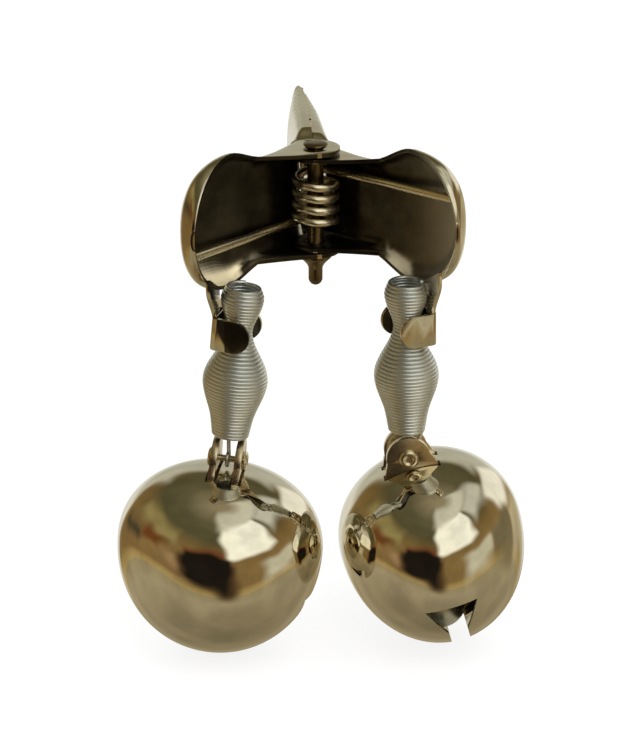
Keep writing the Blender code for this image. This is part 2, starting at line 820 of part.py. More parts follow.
def build():
    clear_scene()
    nickel = metal("clip nickel", (0.60, 0.55, 0.46), 0.22)
    bell_nickel = metal("bell nickel", (0.64, 0.59, 0.49), 0.10)
    steel = metal("spring steel", (0.60, 0.61, 0.60), 0.28)
    bronze = metal("pin bronze", (0.42, 0.30, 0.16), 0.35)
    pin_axis = axis_empty("pin axis", Matrix.Translation(PIN_POINT))
    to_pin = Matrix.Translation(-PIN_POINT)
    for side, word in ((-1, "left"), (1, "right")):
        add(f"{word}_clip_half", turned(clip_half(side), to_pin), nickel, pin_axis)
    add("hinge_pin", hinge_pin(), bronze, pin_axis)
    wire("torsion_spring", torsion_points(), COIL_WIRE, steel, pin_axis)
    for side, word in ((-1, "left"), (1, "right")):
        sway = axis_empty(f"{word} stem axis", stem_frame(side))
        slot_turn = LEFT_SLOT_TURN if side < 0 else RIGHT_SLOT_TURN
        points = stem_points(slot_turn + math.pi / 2)
        wire(f"{word}_stem_spring", points, STEM_WIRE, steel, sway)
        swing = axis_empty(f"{word} bell axis", bell_frame(side))
        add(f"{word}_bell_shell", bell_shell(), bell_nickel, swing)
        add(f"{word}_bell_bracket", bracket(), nickel, swing)
        add(f"{word}_bell_rivet", rivet(), nickel, swing)
        pivot = Matrix.Translation((0, 0, bell_level() - PELLET_PIVOT_DROP))
        roll = axis_empty(f"{word} pellet axis", bell_frame(side) @ pivot)
        off_axis = 0 if side < 0 else RIGHT_BELL_TILT + RIGHT_LEAN
        hang = Vector((0, -math.sin(off_axis), -math.cos(off_axis))) * pellet_arc()
        add(f"{word}_pellet", pellet(), steel, roll, hang)
    bpy.context.view_layer.update()


build()
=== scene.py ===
"""Looks of the twin-bell rod clip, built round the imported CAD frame, in metres.

The sheet, bell and wire forms follow the same formulas as the part's source, drawn finer. The
stem springs are wound close, the torsion spring is drawn smooth, and every metal has its own
procedural finish. The room is a sphere with soft patches of light and dark, and only
reflections see it.
"""
import math

import bmesh
import bpy
from mathutils import Matrix, Vector

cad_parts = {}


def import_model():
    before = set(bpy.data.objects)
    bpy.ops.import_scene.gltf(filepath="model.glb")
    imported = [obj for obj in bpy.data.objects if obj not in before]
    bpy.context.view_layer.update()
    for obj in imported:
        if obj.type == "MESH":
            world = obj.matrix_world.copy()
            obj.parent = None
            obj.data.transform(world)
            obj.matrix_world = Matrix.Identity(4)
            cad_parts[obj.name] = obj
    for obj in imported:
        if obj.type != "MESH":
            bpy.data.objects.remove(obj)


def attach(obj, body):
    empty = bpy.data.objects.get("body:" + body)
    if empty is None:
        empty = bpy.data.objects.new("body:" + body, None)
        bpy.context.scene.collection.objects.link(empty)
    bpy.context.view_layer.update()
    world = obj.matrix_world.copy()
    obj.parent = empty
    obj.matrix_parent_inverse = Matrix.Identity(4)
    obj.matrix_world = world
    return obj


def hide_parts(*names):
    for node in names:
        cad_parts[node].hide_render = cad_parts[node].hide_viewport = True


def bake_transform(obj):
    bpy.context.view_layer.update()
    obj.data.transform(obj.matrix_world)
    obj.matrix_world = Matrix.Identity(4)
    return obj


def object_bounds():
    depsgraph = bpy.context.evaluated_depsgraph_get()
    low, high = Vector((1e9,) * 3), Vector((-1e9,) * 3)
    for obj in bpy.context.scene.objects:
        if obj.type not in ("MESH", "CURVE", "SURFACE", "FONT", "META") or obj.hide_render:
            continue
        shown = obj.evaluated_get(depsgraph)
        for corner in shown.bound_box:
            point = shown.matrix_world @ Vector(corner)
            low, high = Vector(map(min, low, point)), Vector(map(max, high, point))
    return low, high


# Sheet and clearances
SHEET = 0.0005
RUNNING_GAP = 0.0003
EAR_GAP = 0.00025

# Clip, measured from the pin along Y and outwards from the middle plane
GRIP_TO_PIN = 0.0155
JAW_LENGTH = 0.0250
JAW_RISE = 0.0009
JAW_TIP_DROP = 0.0011
JAW_ROOT = 0.0055
JAW_OUT = 0.0023
JAW_BEND = 0.0150
JAW_TIP_OUT = 0.0011
BITE_GAP = 0.00012
TOOTH_COUNT = 8
TOOTH_PITCH = 0.0016
TOOTH_DEPTH = 0.0008
TIP_LAND = 0.0020
EAR_HALF_HEIGHT = 0.0067
TIP_WALL_HEIGHT = EAR_HALF_HEIGHT * 1.3
EAR_RADIUS = 0.0030
EAR_OUT = 0.0055
NECK_OUT = 0.0088
LIP_START = 0.0039
LIP_START_OUT = 0.0074
PAD_LENGTH = 0.0145
PAD_CENTRE = 0.0072
PAD_HALF_HEIGHT = 0.0084
PAD_LIP_OUT = 0.0108
PAD_WIDEST = 0.0112
PAD_SPREAD = 0.0171
PAD_END_OUT = 0.0160
PAD_END_HALF_HEIGHT = 0.0013

# Hinge pin
PIN_RADIUS = 0.0010
PIN_HEAD_RADIUS = 0.0015
PIN_HEAD_HEIGHT = 0.0004
HEAD_EDGE_SHARE = 0.3
PIN_COLLAR_RADIUS = 0.0020
PIN_COLLAR_LENGTH = 0.0021
PIN_NUB_RADIUS = 0.00088
PIN_NUB_LENGTH = 0.0021

# Torsion spring
COIL_RADIUS = 0.0025
COIL_WIRE = 0.0011
COIL_PITCH = 0.00160
COIL_TURNS = 4
LEG_ANGLE = math.radians(43)
LEG_BEND = 0.06

# Crimp and stem spring
STEM_OUT = 0.0101
STEM_INSET = 0.0040
STEM_REACH = PAD_LENGTH - STEM_INSET
CRIMP_DROP = 0.0129
CRIMP_HALF_HEIGHT = 0.0020
CRIMP_OVERREACH = 0.0020
CRIMP_FOLD_RADIUS = 0.0009
CRIMP_TURN = math.radians(-20)
STRIP_WIDTH = 0.0040
STRIP_ROOT_TURN = math.radians(-20)
STRIP_ROOT_IN = 0.0002
STRIP_STRAIGHTEN = 1.3
CRIMP_FOLD_LINE = 0.0121
LEFT_LEAN = math.radians(5.5)
RIGHT_LEAN = math.radians(1.0)
STEM_TOP = 0.0055
STEM_TOP_RADIUS = 0.0022
STEM_LIP = 0.0042
STEM_LIP_RADIUS = 0.00265
STEM_WAIST_RADIUS = 0.00160
STEM_BARREL = 0.0064
STEM_BARREL_RADIUS = 0.0040
STEM_NECK = 0.0112
STEM_NECK_RADIUS = 0.0027
STEM_BOTTOM = 0.0136
STEM_BOTTOM_RADIUS = 0.0023
STEM_CAD_WIRE = 0.00055
EYE_RADIUS = 0.00085
EYE_SWEEP = math.radians(250)
EYE_FALL_POWER = 1.5

# Bell bracket and rivet
EAR_TOP_RADIUS = 0.0027
BRACKET_GAP = 0.0022
BRACKET_SHEET = 0.0008
BRACKET_FOOT = 0.0066
RIVET_RADIUS = 0.0004
RIVET_HEAD_RADIUS = 0.0012
RIVET_HEAD_HEIGHT = 0.0004
RIVET_HEIGHT = 0.0014
# Shares of the head's radius and of its height
ROLLED_HEAD = ((0, 0.5), (0.30, 0.5), (0.62, 1), (0.82, 0.86), (1, HEAD_EDGE_SHARE))

# Bell, with its widest circle as its own level
BELL_RADIUS = 0.0128
BELL_SIDE_RADIUS = 0.0115
DOME_HEIGHT = 0.0101
BOWL_DEPTH = 0.0140
DOME_POWER = 2.15
BOWL_POWER = 2.05
BELL_WALL = 0.00055
SLOT_WIDTH = 0.0024
SLOT_END_WIDTH = 0.0066
SLOT_END_DROP = 0.0046
SLOT_NARROW_DROP = 0.0092
LEFT_SLOT_TURN = math.radians(-12)
RIGHT_SLOT_TURN = math.radians(-90)
RIGHT_BELL_TILT = math.radians(14.5)
PELLET_RADIUS = 0.0035
PELLET_GAP = 0.0004
PELLET_PIVOT_DROP = 0.0047

PIN_POINT = Vector((0, -GRIP_TO_PIN, 0))
Z_TO_X = Matrix.Rotation(math.pi / 2, 4, "Y")
SQUARE = ((-1, -1), (1, -1), (1, 1), (-1, 1))
CUTTER_REACH = 2
THINNEST = 0.00002

# How finely this scene draws them
SECTION_STEPS = 40
PAD_STATIONS = 11
EAR_STATIONS = 10
TIP_STATIONS = (0.5, 0.85, 1)
STATION_SPLIT = 3
STRIP_ROWS = 26
BELL_SEGMENTS = 120
BELL_RINGS = 26
TURNED_SEGMENTS = 48
EDGE_ROUND = 0.00007
EDGE_ANGLE = 40
SHEET_SMOOTH_ANGLE = 35
WIRE_SMOOTH_ANGLE = 60
CURVED_FACE_MATCH = 0.97
CLEARANCE_STEPS = 60
STEM_WIRE = 0.00050
STEM_TURNS = 44
STEM_TURN_POINTS = 26
COIL_TURN_POINTS = 40
WIRE_SIDES = 3

# Painted shade and painted sheen on the clip's sheet: shares, and distances out from the middle
# plane
FACES_IN, FACES_FRONT = 0.1, 0.5
FACES_UP_EASE = 0.4
# Painted shade on the crimp's ears
EAR_PAINTED_SHADE = 0.95
LEFT_SHEEN, LEFT_SHEEN_FROM = 0.9, 0.0094
LEFT_GLOW, LEFT_GLOW_TO = 0.12, 0.0086
LEFT_EDGE = 0.0005
RIGHT_SHEEN, RIGHT_SHEEN_FROM, RIGHT_SHEEN_TO = 0.4, 0.0082, 0.0115
RIGHT_NEAR_EDGE, RIGHT_FAR_EDGE = 0.0004, 0.0006
# At the right pad's end, a painted sheen and less painted shade
RIGHT_END_SHEEN, RIGHT_END_LESS_SHADE = 0.3, 0.25
SHEEN_EASE = 0.003


def linked(name, data):
    """A new object in the scene."""
    made = bpy.data.objects.new(name, data)
    bpy.context.scene.collection.objects.link(made)
    return made


def new_mesh(name, points, faces):
    mesh = bpy.data.meshes.new(name)
    mesh.from_pydata([tuple(point) for point in points], [], faces)
    mesh.validate()
    return mesh


def facing_out(mesh):
    """Triangulated, with every face pointing out of the body."""
    work = bmesh.new()
    work.from_mesh(mesh)
    bmesh.ops.remove_doubles(work, verts=work.verts, dist=1e-7)
    bmesh.ops.triangulate(work, faces=work.faces)
    bmesh.ops.recalc_face_normals(work, faces=work.faces)
    work.to_mesh(mesh)
    work.free()
    return mesh


def prism(outline, half_depth):
    """A block of the (Y, Z) outline, from -half_depth to +half_depth along X."""
    count = len(outline)
    points = [(side * half_depth, y, z) for side in (-1, 1) for y, z in outline]
    faces = [tuple(range(count)), tuple(range(count, 2 * count))]
    faces += [(k, (k + 1) % count, count + (k + 1) % count, count + k) for k in range(count)]
    return facing_out(new_mesh("prism", points, faces))


def lathe(profile, segments=TURNED_SEGMENTS):
    """A closed body turned about Z from (radius, z) points that start and end on the axis."""
    points = [(0, 0, profile[0][1])]
    for radius, z in profile[1:-1]:
        for k in range(segments):
            angle = 2 * math.pi * k / segments
            points.append((radius * math.cos(angle), radius * math.sin(angle), z))
    points.append((0, 0, profile[-1][1]))
    last = len(points) - 1
    rings = len(profile) - 2
    faces = []
    for k in range(segments):
        after = (k + 1) % segments
        faces.append((0, 1 + k, 1 + after))
        for ring in range(rings - 1):
            here = 1 + ring * segments
            there = here + segments
            faces.append((here + k, there + k, there + after, here + after))
        base = 1 + (rings - 1) * segments
        faces.append((base + after, base + k, last))
    return facing_out(new_mesh("lathe", points, faces))


def cylinder(radius, reach):
    """A round body along Z, from -reach to +reach."""
    return lathe([(0, -reach), (radius, -reach), (radius, reach), (0, reach)])


def turned(mesh, matrix):
    mesh.transform(matrix)
    return mesh


def carved(base, tools, rounding=EDGE_ROUND):
    """The base mesh, joined to or cut by each tool in turn, with its edges eased."""
    body = linked("body", base)
    helpers = []
    for number, (operation, mesh) in enumerate(tools):
        helper = linked("tool", mesh)
        helpers.append(helper)
        step = body.modifiers.new(f"step {number}", "BOOLEAN")
        step.operation = operation
        step.object = helper
        step.solver = "EXACT"
    if rounding:
        round_off = body.modifiers.new("edges", "BEVEL")
        round_off.width = rounding
        round_off.segments = 2
        round_off.limit_method = "ANGLE"
        round_off.angle_limit = math.radians(EDGE_ANGLE)
    evaluated = body.evaluated_get(bpy.context.evaluated_depsgraph_get())
    result = bpy.data.meshes.new_from_object(evaluated)
    for helper in [body, *helpers]:
        bpy.data.objects.remove(helper)
    return result


def smooth_curve(knots, at):
    """Value at one place on the smooth curve through the knots, with no overshoot."""
    places = [knot[0] for knot in knots]
    values = [knot[1] for knot in knots]
    at = min(max(at, places[0]), places[-1])
    steps = [b - a for a, b in zip(places, places[1:])]
    slopes = [(b - a) / step for a, b, step in zip(values, values[1:], steps)]
    tangents = [slopes[0]]
    for before, after in zip(slopes, slopes[1:]):
        level = before * after <= 0
        tangents.append(0 if level else 2 * before * after / (before + after))
    tangents.append(slopes[-1])
    span = next(k for k in range(len(steps)) if at <= places[k + 1])
    step = steps[span]
    t = (at - places[span]) / step
    rise = values[span] + (values[span + 1] - values[span]) * t * t * (3 - 2 * t)
    leave = step * tangents[span] * t * (1 - t) ** 2
    arrive = step * tangents[span + 1] * t * t * (1 - t)
    return rise + leave - arrive


def ease(t):
    t = min(max(t, 0), 1)
    return t * t * (3 - 2 * t)


def place(point):
    """A point of the clip, given from the pin, in the part's frame."""
    return PIN_POINT + Vector(point)


# The sheet of one clip half, as functions of the distance y from the pin


def web_out(y):
    """Outer face of the web at mid height."""
    knots = (
        (-PAD_LENGTH, PAD_END_OUT), (-PAD_WIDEST, PAD_SPREAD), (-EAR_RADIUS, NECK_OUT),
        (0, EAR_OUT), (JAW_ROOT, JAW_OUT), (JAW_BEND, JAW_OUT), (JAW_LENGTH, JAW_TIP_OUT),
    )
    return smooth_curve(knots, y)


def bite_line(y):
    """The zigzag between the two rows of teeth, across the middle plane."""
    first = JAW_LENGTH - TIP_LAND - TOOTH_COUNT * TOOTH_PITCH
    phase = (y - first) / TOOTH_PITCH
    if phase <= 0 or phase >= TOOTH_COUNT:
        return 0
    return TOOTH_DEPTH * (0.5 - abs(phase % 1 - 0.5))


def lip_out(y, side):
    """Inner edge of the flanges: pad lip, ear and teeth."""
    if y <= -LIP_START:
        knots = (
            (-PAD_LENGTH, PAD_END_OUT - SHEET),
            (-PAD_CENTRE, PAD_LIP_OUT),
            (-LIP_START, LIP_START_OUT),
        )
        return smooth_curve(knots, y)
    if y <= -EAR_RADIUS:
        return LIP_START_OUT * (y + EAR_RADIUS) / (EAR_RADIUS - LIP_START)
    if y < EAR_RADIUS:
        return -math.sqrt(EAR_RADIUS ** 2 - y ** 2)
    return BITE_GAP / 2 + side * bite_line(y)


def half_height(y, ear_height):
    """Half the distance between the outer faces of the flanges."""
    if y <= -PAD_CENTRE:
        along = (y + PAD_CENTRE) / (PAD_LENGTH - PAD_CENTRE)
        return max(PAD_END_HALF_HEIGHT, PAD_HALF_HEIGHT * math.sqrt(max(0, 1 - along ** 2)))
    if y <= -EAR_RADIUS:
        t = ease((y + PAD_CENTRE) / (PAD_CENTRE - EAR_RADIUS))
        return PAD_HALF_HEIGHT + (ear_height - PAD_HALF_HEIGHT) * t
    if y <= EAR_RADIUS:
        return ear_height
    t = ease((y - EAR_RADIUS) / (JAW_ROOT - EAR_RADIUS))
    height = ear_height + JAW_RISE * t
    t = max(0, (y - (JAW_LENGTH - TIP_LAND)) / TIP_LAND)
    return height - JAW_TIP_DROP * (1 - math.sqrt(max(0, 1 - t * t)))


def squareness(y):
    """How square the section is: a round dish at the pad, a folded channel at ear and jaw."""
    knots = (
        (-PAD_LENGTH, 2.2), (-PAD_CENTRE, 2.4), (-LIP_START, 7), (0, 9),
        (EAR_RADIUS, 7), (JAW_ROOT, 4.5), (JAW_BEND, 3.2), (JAW_LENGTH, 2.6),
    )
    return smooth_curve(knots, y)


def flange_height(out, y, ear_height):
    """Height of the outer face of the flange at one place in plan."""
    lip = lip_out(y, 0)
    depth = web_out(y) - lip
    power = squareness(y)
    share = min(max((out - lip) / depth, 0), 1)
    return half_height(y, ear_height) * (1 - share ** power) ** (1 / power)


def stations():
    """Places along the clip where a section is drawn, each stretch split into finer ones."""
    places = []
    for k in range(PAD_STATIONS):
        share = 1 - math.cos(math.pi / 2 * k / (PAD_STATIONS - 1))
        places.append(-PAD_LENGTH + (PAD_LENGTH - LIP_START) * share)
    places += [-LIP_START + (LIP_START - EAR_RADIUS) * k / 3 for k in (1, 2)]
    places += [
        -EAR_RADIUS * math.cos(math.pi * k / EAR_STATIONS) for k in range(EAR_STATIONS + 1)
    ]
    root_gap = JAW_ROOT - EAR_RADIUS
    places += [EAR_RADIUS + root_gap * k / 3 for k in (1, 2, 3)]
    first = JAW_LENGTH - TIP_LAND - TOOTH_COUNT * TOOTH_PITCH
    places.append((JAW_ROOT + first) / 2)
    places += [first + TOOTH_PITCH * k / 2 for k in range(2 * TOOTH_COUNT + 1)]
    places += [JAW_LENGTH - TIP_LAND * (1 - share) for share in TIP_STATIONS]
    fine = []
    for a, b in zip(places, places[1:]):
        fine += [a + (b - a) * k / STATION_SPLIT for k in range(STATION_SPLIT)]
    return fine + [places[-1]]


def section(y, side, ear_height, inset):
    """Points round the channel's section at y, on its outer face or a sheet's thickness inside."""
    lip = lip_out(y, 0)
    tooth = lip_out(y, side) - lip
    depth = max(web_out(y) - lip - inset, THINNEST)
    height = half_height(y, ear_height) - inset
    power = 2 / squareness(y)
    points = []
    for k in range(SECTION_STEPS + 1):
        angle = math.pi * (0.5 - k / SECTION_STEPS)
        middle = k * 2 == SECTION_STEPS
        end = k in (0, SECTION_STEPS)
        lift = 0 if middle else math.copysign(abs(math.sin(angle)) ** power, angle)
        share = 0 if end else abs(math.cos(angle)) ** power
        out = lip + depth * share + tooth * (1 - share) ** 2
        points.append(place((side * out, y, height * lift)))
    return points


def clip_sheet(side, ear_height):
    """The sheet of one half as a closed body: outer face, inner face, lips and two ends."""
    places = stations()
    width = SECTION_STEPS + 1
    points = []
    for inset in (0, SHEET):
        for y in places:
            points += section(y, side, ear_height, inset)
    inner = len(places) * width
    faces = []
    for i in range(len(places) - 1):
        for k in range(SECTION_STEPS):
            a = i * width + k
            quad = (a, a + 1, a + width + 1, a + width)
            faces += [quad, tuple(inner + corner for corner in quad[::-1])]
        for k in (0, SECTION_STEPS):
            a = i * width + k
            faces.append((a, a + width, inner + a + width, inner + a))
    for i in (0, len(places) - 1):
        for k in range(SECTION_STEPS):
            a = i * width + k
            faces.append((a, a + 1, inner + a + 1, inner + a))
    return facing_out(new_mesh("sheet", points, faces))


# Crimp, strip and stem


def stem_radius(drop):
    """Outer radius of the stem spring, at a distance below its waist."""
    knots = (
        (-STEM_TOP, STEM_TOP_RADIUS), (-STEM_LIP, STEM_LIP_RADIUS), (0, STEM_WAIST_RADIUS),
        (STEM_BARREL, STEM_BARREL_RADIUS), (STEM_NECK, STEM_NECK_RADIUS),
        (STEM_BOTTOM, STEM_BOTTOM_RADIUS),
    )
    return smooth_curve(knots, drop)


def crimp_gap():
    """Distance from the stem's axis to the inner faces of the crimp."""
    widest = max(stem_radius(-CRIMP_HALF_HEIGHT), stem_radius(CRIMP_HALF_HEIGHT))
    return widest + RUNNING_GAP


def stem_frame(side):
    """The stem's frame: origin in the crimp, +Z up the stem, leaning outwards going down."""
    lean = LEFT_LEAN if side < 0 else RIGHT_LEAN
    origin = place((side * STEM_OUT, -STEM_REACH, -CRIMP_DROP))
    return Matrix.Translation(origin) @ Matrix.Rotation(-side * lean, 4, "Y")


def crimp_matrix(side):
    """Turns a body with +X along the strip's width and +Y towards the stem into place."""
    turn = side * (math.pi / 2 - CRIMP_TURN)
    return stem_frame(side) @ Matrix.Rotation(turn, 4, "Z")


def fold_column(half, radius):
    """An upright column round the stem, with its two corners on the strip's side rounded."""
    far = half * CUTTER_REACH
    arc = 12
    outline = [(half, far)]
    for turn in (0, 1):
        centre = (half - radius) * (1 - 2 * turn)
        for k in range(arc + 1):
            angle = -math.pi / 2 * (turn + k / arc)
            x = centre + radius * math.cos(angle)
            outline.append((x, radius - half + radius * math.sin(angle)))
    outline.append((-half, far))
    upright = Matrix(((0, 1, 0, 0), (0, 0, 1, 0), (1, 0, 0, 0), (0, 0, 0, 1)))
    return turned(prism(outline, CRIMP_HALF_HEIGHT * CUTTER_REACH), upright)


def crimp_block():
    """The folded crimp before its hollow is cut: rounded folds, and a round free end."""
    half = crimp_gap() + SHEET
    centre = CRIMP_OVERREACH - CRIMP_HALF_HEIGHT
    outline = [(-half, -CRIMP_HALF_HEIGHT)]
    arc = 36
    for k in range(arc + 1):
        angle = math.pi * (k / arc - 0.5)
        y = centre + CRIMP_HALF_HEIGHT * math.cos(angle)
        outline.append((y, CRIMP_HALF_HEIGHT * math.sin(angle)))
    outline.append((-half, CRIMP_HALF_HEIGHT))
    folded = ("INTERSECT", fold_column(half, CRIMP_FOLD_RADIUS))
    return carved(prism(outline, half), [folded], 0)


def strip(side, ear_height):
    """The strip from the pad's lower lip to the crimp, twisted to face the stem."""
    frame = crimp_matrix(side)
    foot = Vector((0, -crimp_gap() - SHEET / 2, CRIMP_HALF_HEIGHT - SHEET))
    foot_centre = frame @ foot
    foot_width = (frame.to_3x3() @ Vector((1, 0, 0))).normalized()
    root_out = lip_out(-STEM_REACH, 0) + STRIP_ROOT_IN
    root_centre = place((side * root_out, -STEM_REACH, 0))
    root_width = Vector((math.sin(STRIP_ROOT_TURN) * side, math.cos(STRIP_ROOT_TURN), 0))
    if foot_width.dot(root_width) < 0:
        root_width.negate()
    rows = []
    for k in range(STRIP_ROWS):
        t = k / (STRIP_ROWS - 1)
        width = foot_width.lerp(root_width, ease(t)).normalized()
        normal = width.cross(Vector((0, 0, 1))).normalized()
        middle = foot_centre.lerp(root_centre, ease(t * STRIP_STRAIGHTEN))
        rows.append([
            middle + width * across * STRIP_WIDTH / 2 + normal * through * SHEET / 2
            for across, through in SQUARE
        ])
    for j, end in enumerate(rows[-1]):
        top = SHEET / 2 - flange_height(abs(end.x), end.y - PIN_POINT.y, ear_height)
        for k, row in enumerate(rows):
            row[j].z = foot_centre.z + (top - foot_centre.z) * k / (STRIP_ROWS - 1)
    points = [point for row in rows for point in row]
    faces = [(3, 2, 1, 0), tuple(range(4 * STRIP_ROWS - 4, 4 * STRIP_ROWS))]
    for k in range(STRIP_ROWS - 1):
        for j in range(4):
            a = 4 * k + j
            b = 4 * k + (j + 1) % 4
            faces.append((a, b, b + 4, a + 4))
    return facing_out(new_mesh("strip", points, faces))


def pin_hole():
    hole = cylinder(PIN_RADIUS + EAR_GAP, EAR_HALF_HEIGHT * CUTTER_REACH)
    return turned(hole, Matrix.Translation(PIN_POINT))


def tip_wall(side):
    """A thin wall across the channel just inside the jaw's tip, almost touching the other's."""
    inner = THINNEST
    outer = JAW_TIP_OUT - SHEET / 2
    size = (outer - inner, SHEET / 2, TIP_WALL_HEIGHT)
    return box(place((side * (outer + inner) / 2, JAW_LENGTH - SHEET, 0)), size)


def clip_half(side):
    """One stamped half: pad, flanges, ears and toothed jaw, with its strip and crimp."""
    ear_height = EAR_HALF_HEIGHT
    if side > 0:
        ear_height -= SHEET + EAR_GAP
    frame = crimp_matrix(side)
    hollow = fold_column(crimp_gap(), CRIMP_FOLD_RADIUS - SHEET)
    tools = [
        ("DIFFERENCE", pin_hole()),
        ("UNION", strip(side, ear_height)),
        ("UNION", turned(crimp_block(), frame)),
        ("DIFFERENCE", turned(hollow, frame)),
        ("UNION", tip_wall(side)),
    ]
    return carved(clip_sheet(side, ear_height), tools)


def hinge_pin():
    """Pin with a low top head, and a flared collar and domed nub below."""
    top = EAR_HALF_HEIGHT + EAR_GAP
    collar_end = -top - PIN_COLLAR_LENGTH
    nub_middle = collar_end - PIN_NUB_LENGTH + PIN_NUB_RADIUS
    steps = 10
    profile = [(0, top + PIN_HEAD_HEIGHT)]
    for k in range(1, steps + 1):
        angle = math.pi / 2 * k / steps
        height = PIN_HEAD_HEIGHT * (HEAD_EDGE_SHARE + (1 - HEAD_EDGE_SHARE) * math.cos(angle))
        profile.append((PIN_HEAD_RADIUS * math.sin(angle), top + height))
    profile += [(PIN_HEAD_RADIUS, top), (PIN_RADIUS, top), (PIN_RADIUS, -top)]
    profile += [(PIN_COLLAR_RADIUS, -top), (PIN_COLLAR_RADIUS, -top - SHEET)]
    taper = PIN_NUB_RADIUS - PIN_COLLAR_RADIUS
    for k in range(1, steps):
        t = k / steps
        radius = PIN_COLLAR_RADIUS + taper * math.sin(math.pi / 2 * t)
        profile.append((radius, -top - SHEET - (PIN_COLLAR_LENGTH - SHEET) * t))
    profile += [(PIN_NUB_RADIUS, collar_end), (PIN_NUB_RADIUS, nub_middle)]
    for k in range(1, steps):
        angle = math.pi / 2 * k / steps
        radius = PIN_NUB_RADIUS * math.cos(angle)
        profile.append((radius, nub_middle - PIN_NUB_RADIUS * math.sin(angle)))
    profile.append((0, nub_middle - PIN_NUB_RADIUS))
    return carved(turned(lathe(profile[::-1]), Matrix.Translation(PIN_POINT)), [])


# Wire forms


def wire(points, diameter):
    """A round wire along the points, as a mesh."""
    curve = bpy.data.curves.new("wire", "CURVE")
    curve.dimensions = "3D"
    line = curve.splines.new("POLY")
    line.points.add(len(points) - 1)
    for target, point in zip(line.points, points):
        target.co = (*point, 1)
    curve.bevel_depth = diameter / 2
    curve.bevel_resolution = WIRE_SIDES
    curve.use_fill_caps = True
    holder = linked("wire", curve)
    evaluated = holder.evaluated_get(bpy.context.evaluated_depsgraph_get())
    mesh = bpy.data.meshes.new_from_object(evaluated)
    bpy.data.objects.remove(holder)
    return mesh


def flange_share(z, y):
    """Share of the channel's depth that its outer face has at height z."""
    power = squareness(y)
    share = min(abs(z) / half_height(y, EAR_HALF_HEIGHT), 1)
    return (1 - share ** power) ** (1 / power)


def pad_clearance(point, side):
    """Distance in plan from a point inside the clip to the inner face of the web."""
    nearest = PAD_LENGTH
    for k in range(CLEARANCE_STEPS):
        y = -PAD_LENGTH + PAD_LENGTH * k / CLEARANCE_STEPS
        dish = flange_share(point.z, y)
        out = lip_out(y, side) + (web_out(y) - lip_out(y, side)) * dish - SHEET
        nearest = min(nearest, math.hypot(side * point.x - out, point.y - y))
    return nearest


def torsion_points():
    """From the right pad's leg, round the pin and down, to the left pad's leg."""
    height = COIL_TURNS * COIL_PITCH
    start = math.pi / 2 - LEG_ANGLE
    sweep = 2 * LEG_ANGLE + 2 * math.pi * COIL_TURNS
    count = round(COIL_TURN_POINTS * sweep / (2 * math.pi))
    coil = []
    for k in range(count + 1):
        angle = start + sweep * k / count
        x = COIL_RADIUS * math.cos(angle)
        y = COIL_RADIUS * math.sin(angle)
        coil.append(Vector((x, y, height / 2 - height * k / count)))
    ends = []
    for side, root in ((1, coil[0]), (-1, coil[-1])):
        direction = Vector((side * math.cos(LEG_ANGLE), -math.sin(LEG_ANGLE), 0))
        length = PAD_LENGTH / 2
        step = COIL_WIRE / 4
        while length < 2 * PAD_SPREAD:
            tip = root + direction * (length + step)
            if pad_clearance(tip, side) < COIL_WIRE / 2 + RUNNING_GAP:
                break
            length += step
        ends.append([root + direction * length * share for share in (1, 0.5, LEG_BEND)])
    return [place(point) for point in ends[0] + coil + ends[1][::-1]]


def stem_points(azimuth):
    """From the open top, down the barrel, in to the side of the eye and round the rivet."""
    height = STEM_TOP + STEM_BOTTOM
    pitch = height / (STEM_TURNS - 0.5)
    start = azimuth - 2 * math.pi * STEM_TURNS
    count = STEM_TURNS * STEM_TURN_POINTS
    points = []
    for k in range(count + 1):
        turns = k / STEM_TURN_POINTS
        drop = -STEM_TOP + pitch * (turns - 0.5 if turns > 1 else turns ** 2 / 2)
        radius = stem_radius(drop) - STEM_WIRE / 2
        angle = start + 2 * math.pi * turns
        points.append(Vector((radius * math.cos(angle), radius * math.sin(angle), -drop)))
    rivet = rivet_drop()
    last = STEM_BOTTOM_RADIUS - STEM_WIRE / 2
    across = Vector((math.cos(azimuth), math.sin(azimuth), 0))
    ahead = Vector((-math.sin(azimuth), math.cos(azimuth), 0))
    turn_in = 18
    for k in range(1, turn_in + 1):
        angle = math.pi / 2 * k / turn_in
        inward = last + (EYE_RADIUS - last) * (1 - math.cos(angle))
        forward = 2 * pitch * math.sin(angle) * (1 - k / turn_in)
        fall = STEM_BOTTOM + (rivet - STEM_BOTTOM) * (k / turn_in) ** EYE_FALL_POWER
        points.append(across * inward + ahead * forward + Vector((0, 0, -fall)))
    loop = 28
    for k in range(1, loop + 1):
        angle = EYE_SWEEP * k / loop
        side = across * EYE_RADIUS * math.cos(angle)
        points.append(side + Vector((0, 0, -rivet - EYE_RADIUS * math.sin(angle))))
    return points


# Bell assembly, in a frame at the rivet with +X along the rivet and the slot


def rivet_drop():
    """From the crimp's middle down to the rivet."""
    return STEM_BOTTOM + STEM_CAD_WIRE / 2 + RUNNING_GAP + EAR_TOP_RADIUS


def bell_frame(side):
    rivet = Matrix.Translation((0, 0, -rivet_drop()))
    turn = LEFT_SLOT_TURN if side < 0 else RIGHT_SLOT_TURN
    tilt = 0 if side < 0 else RIGHT_BELL_TILT
    spin = Matrix.Rotation(turn, 4, "Z") @ Matrix.Rotation(tilt, 4, "X")
    return stem_frame(side) @ rivet @ spin


def bell_level():
    """Height of the bell's widest circle in the rivet's frame."""
    return -RIVET_HEIGHT - DOME_HEIGHT


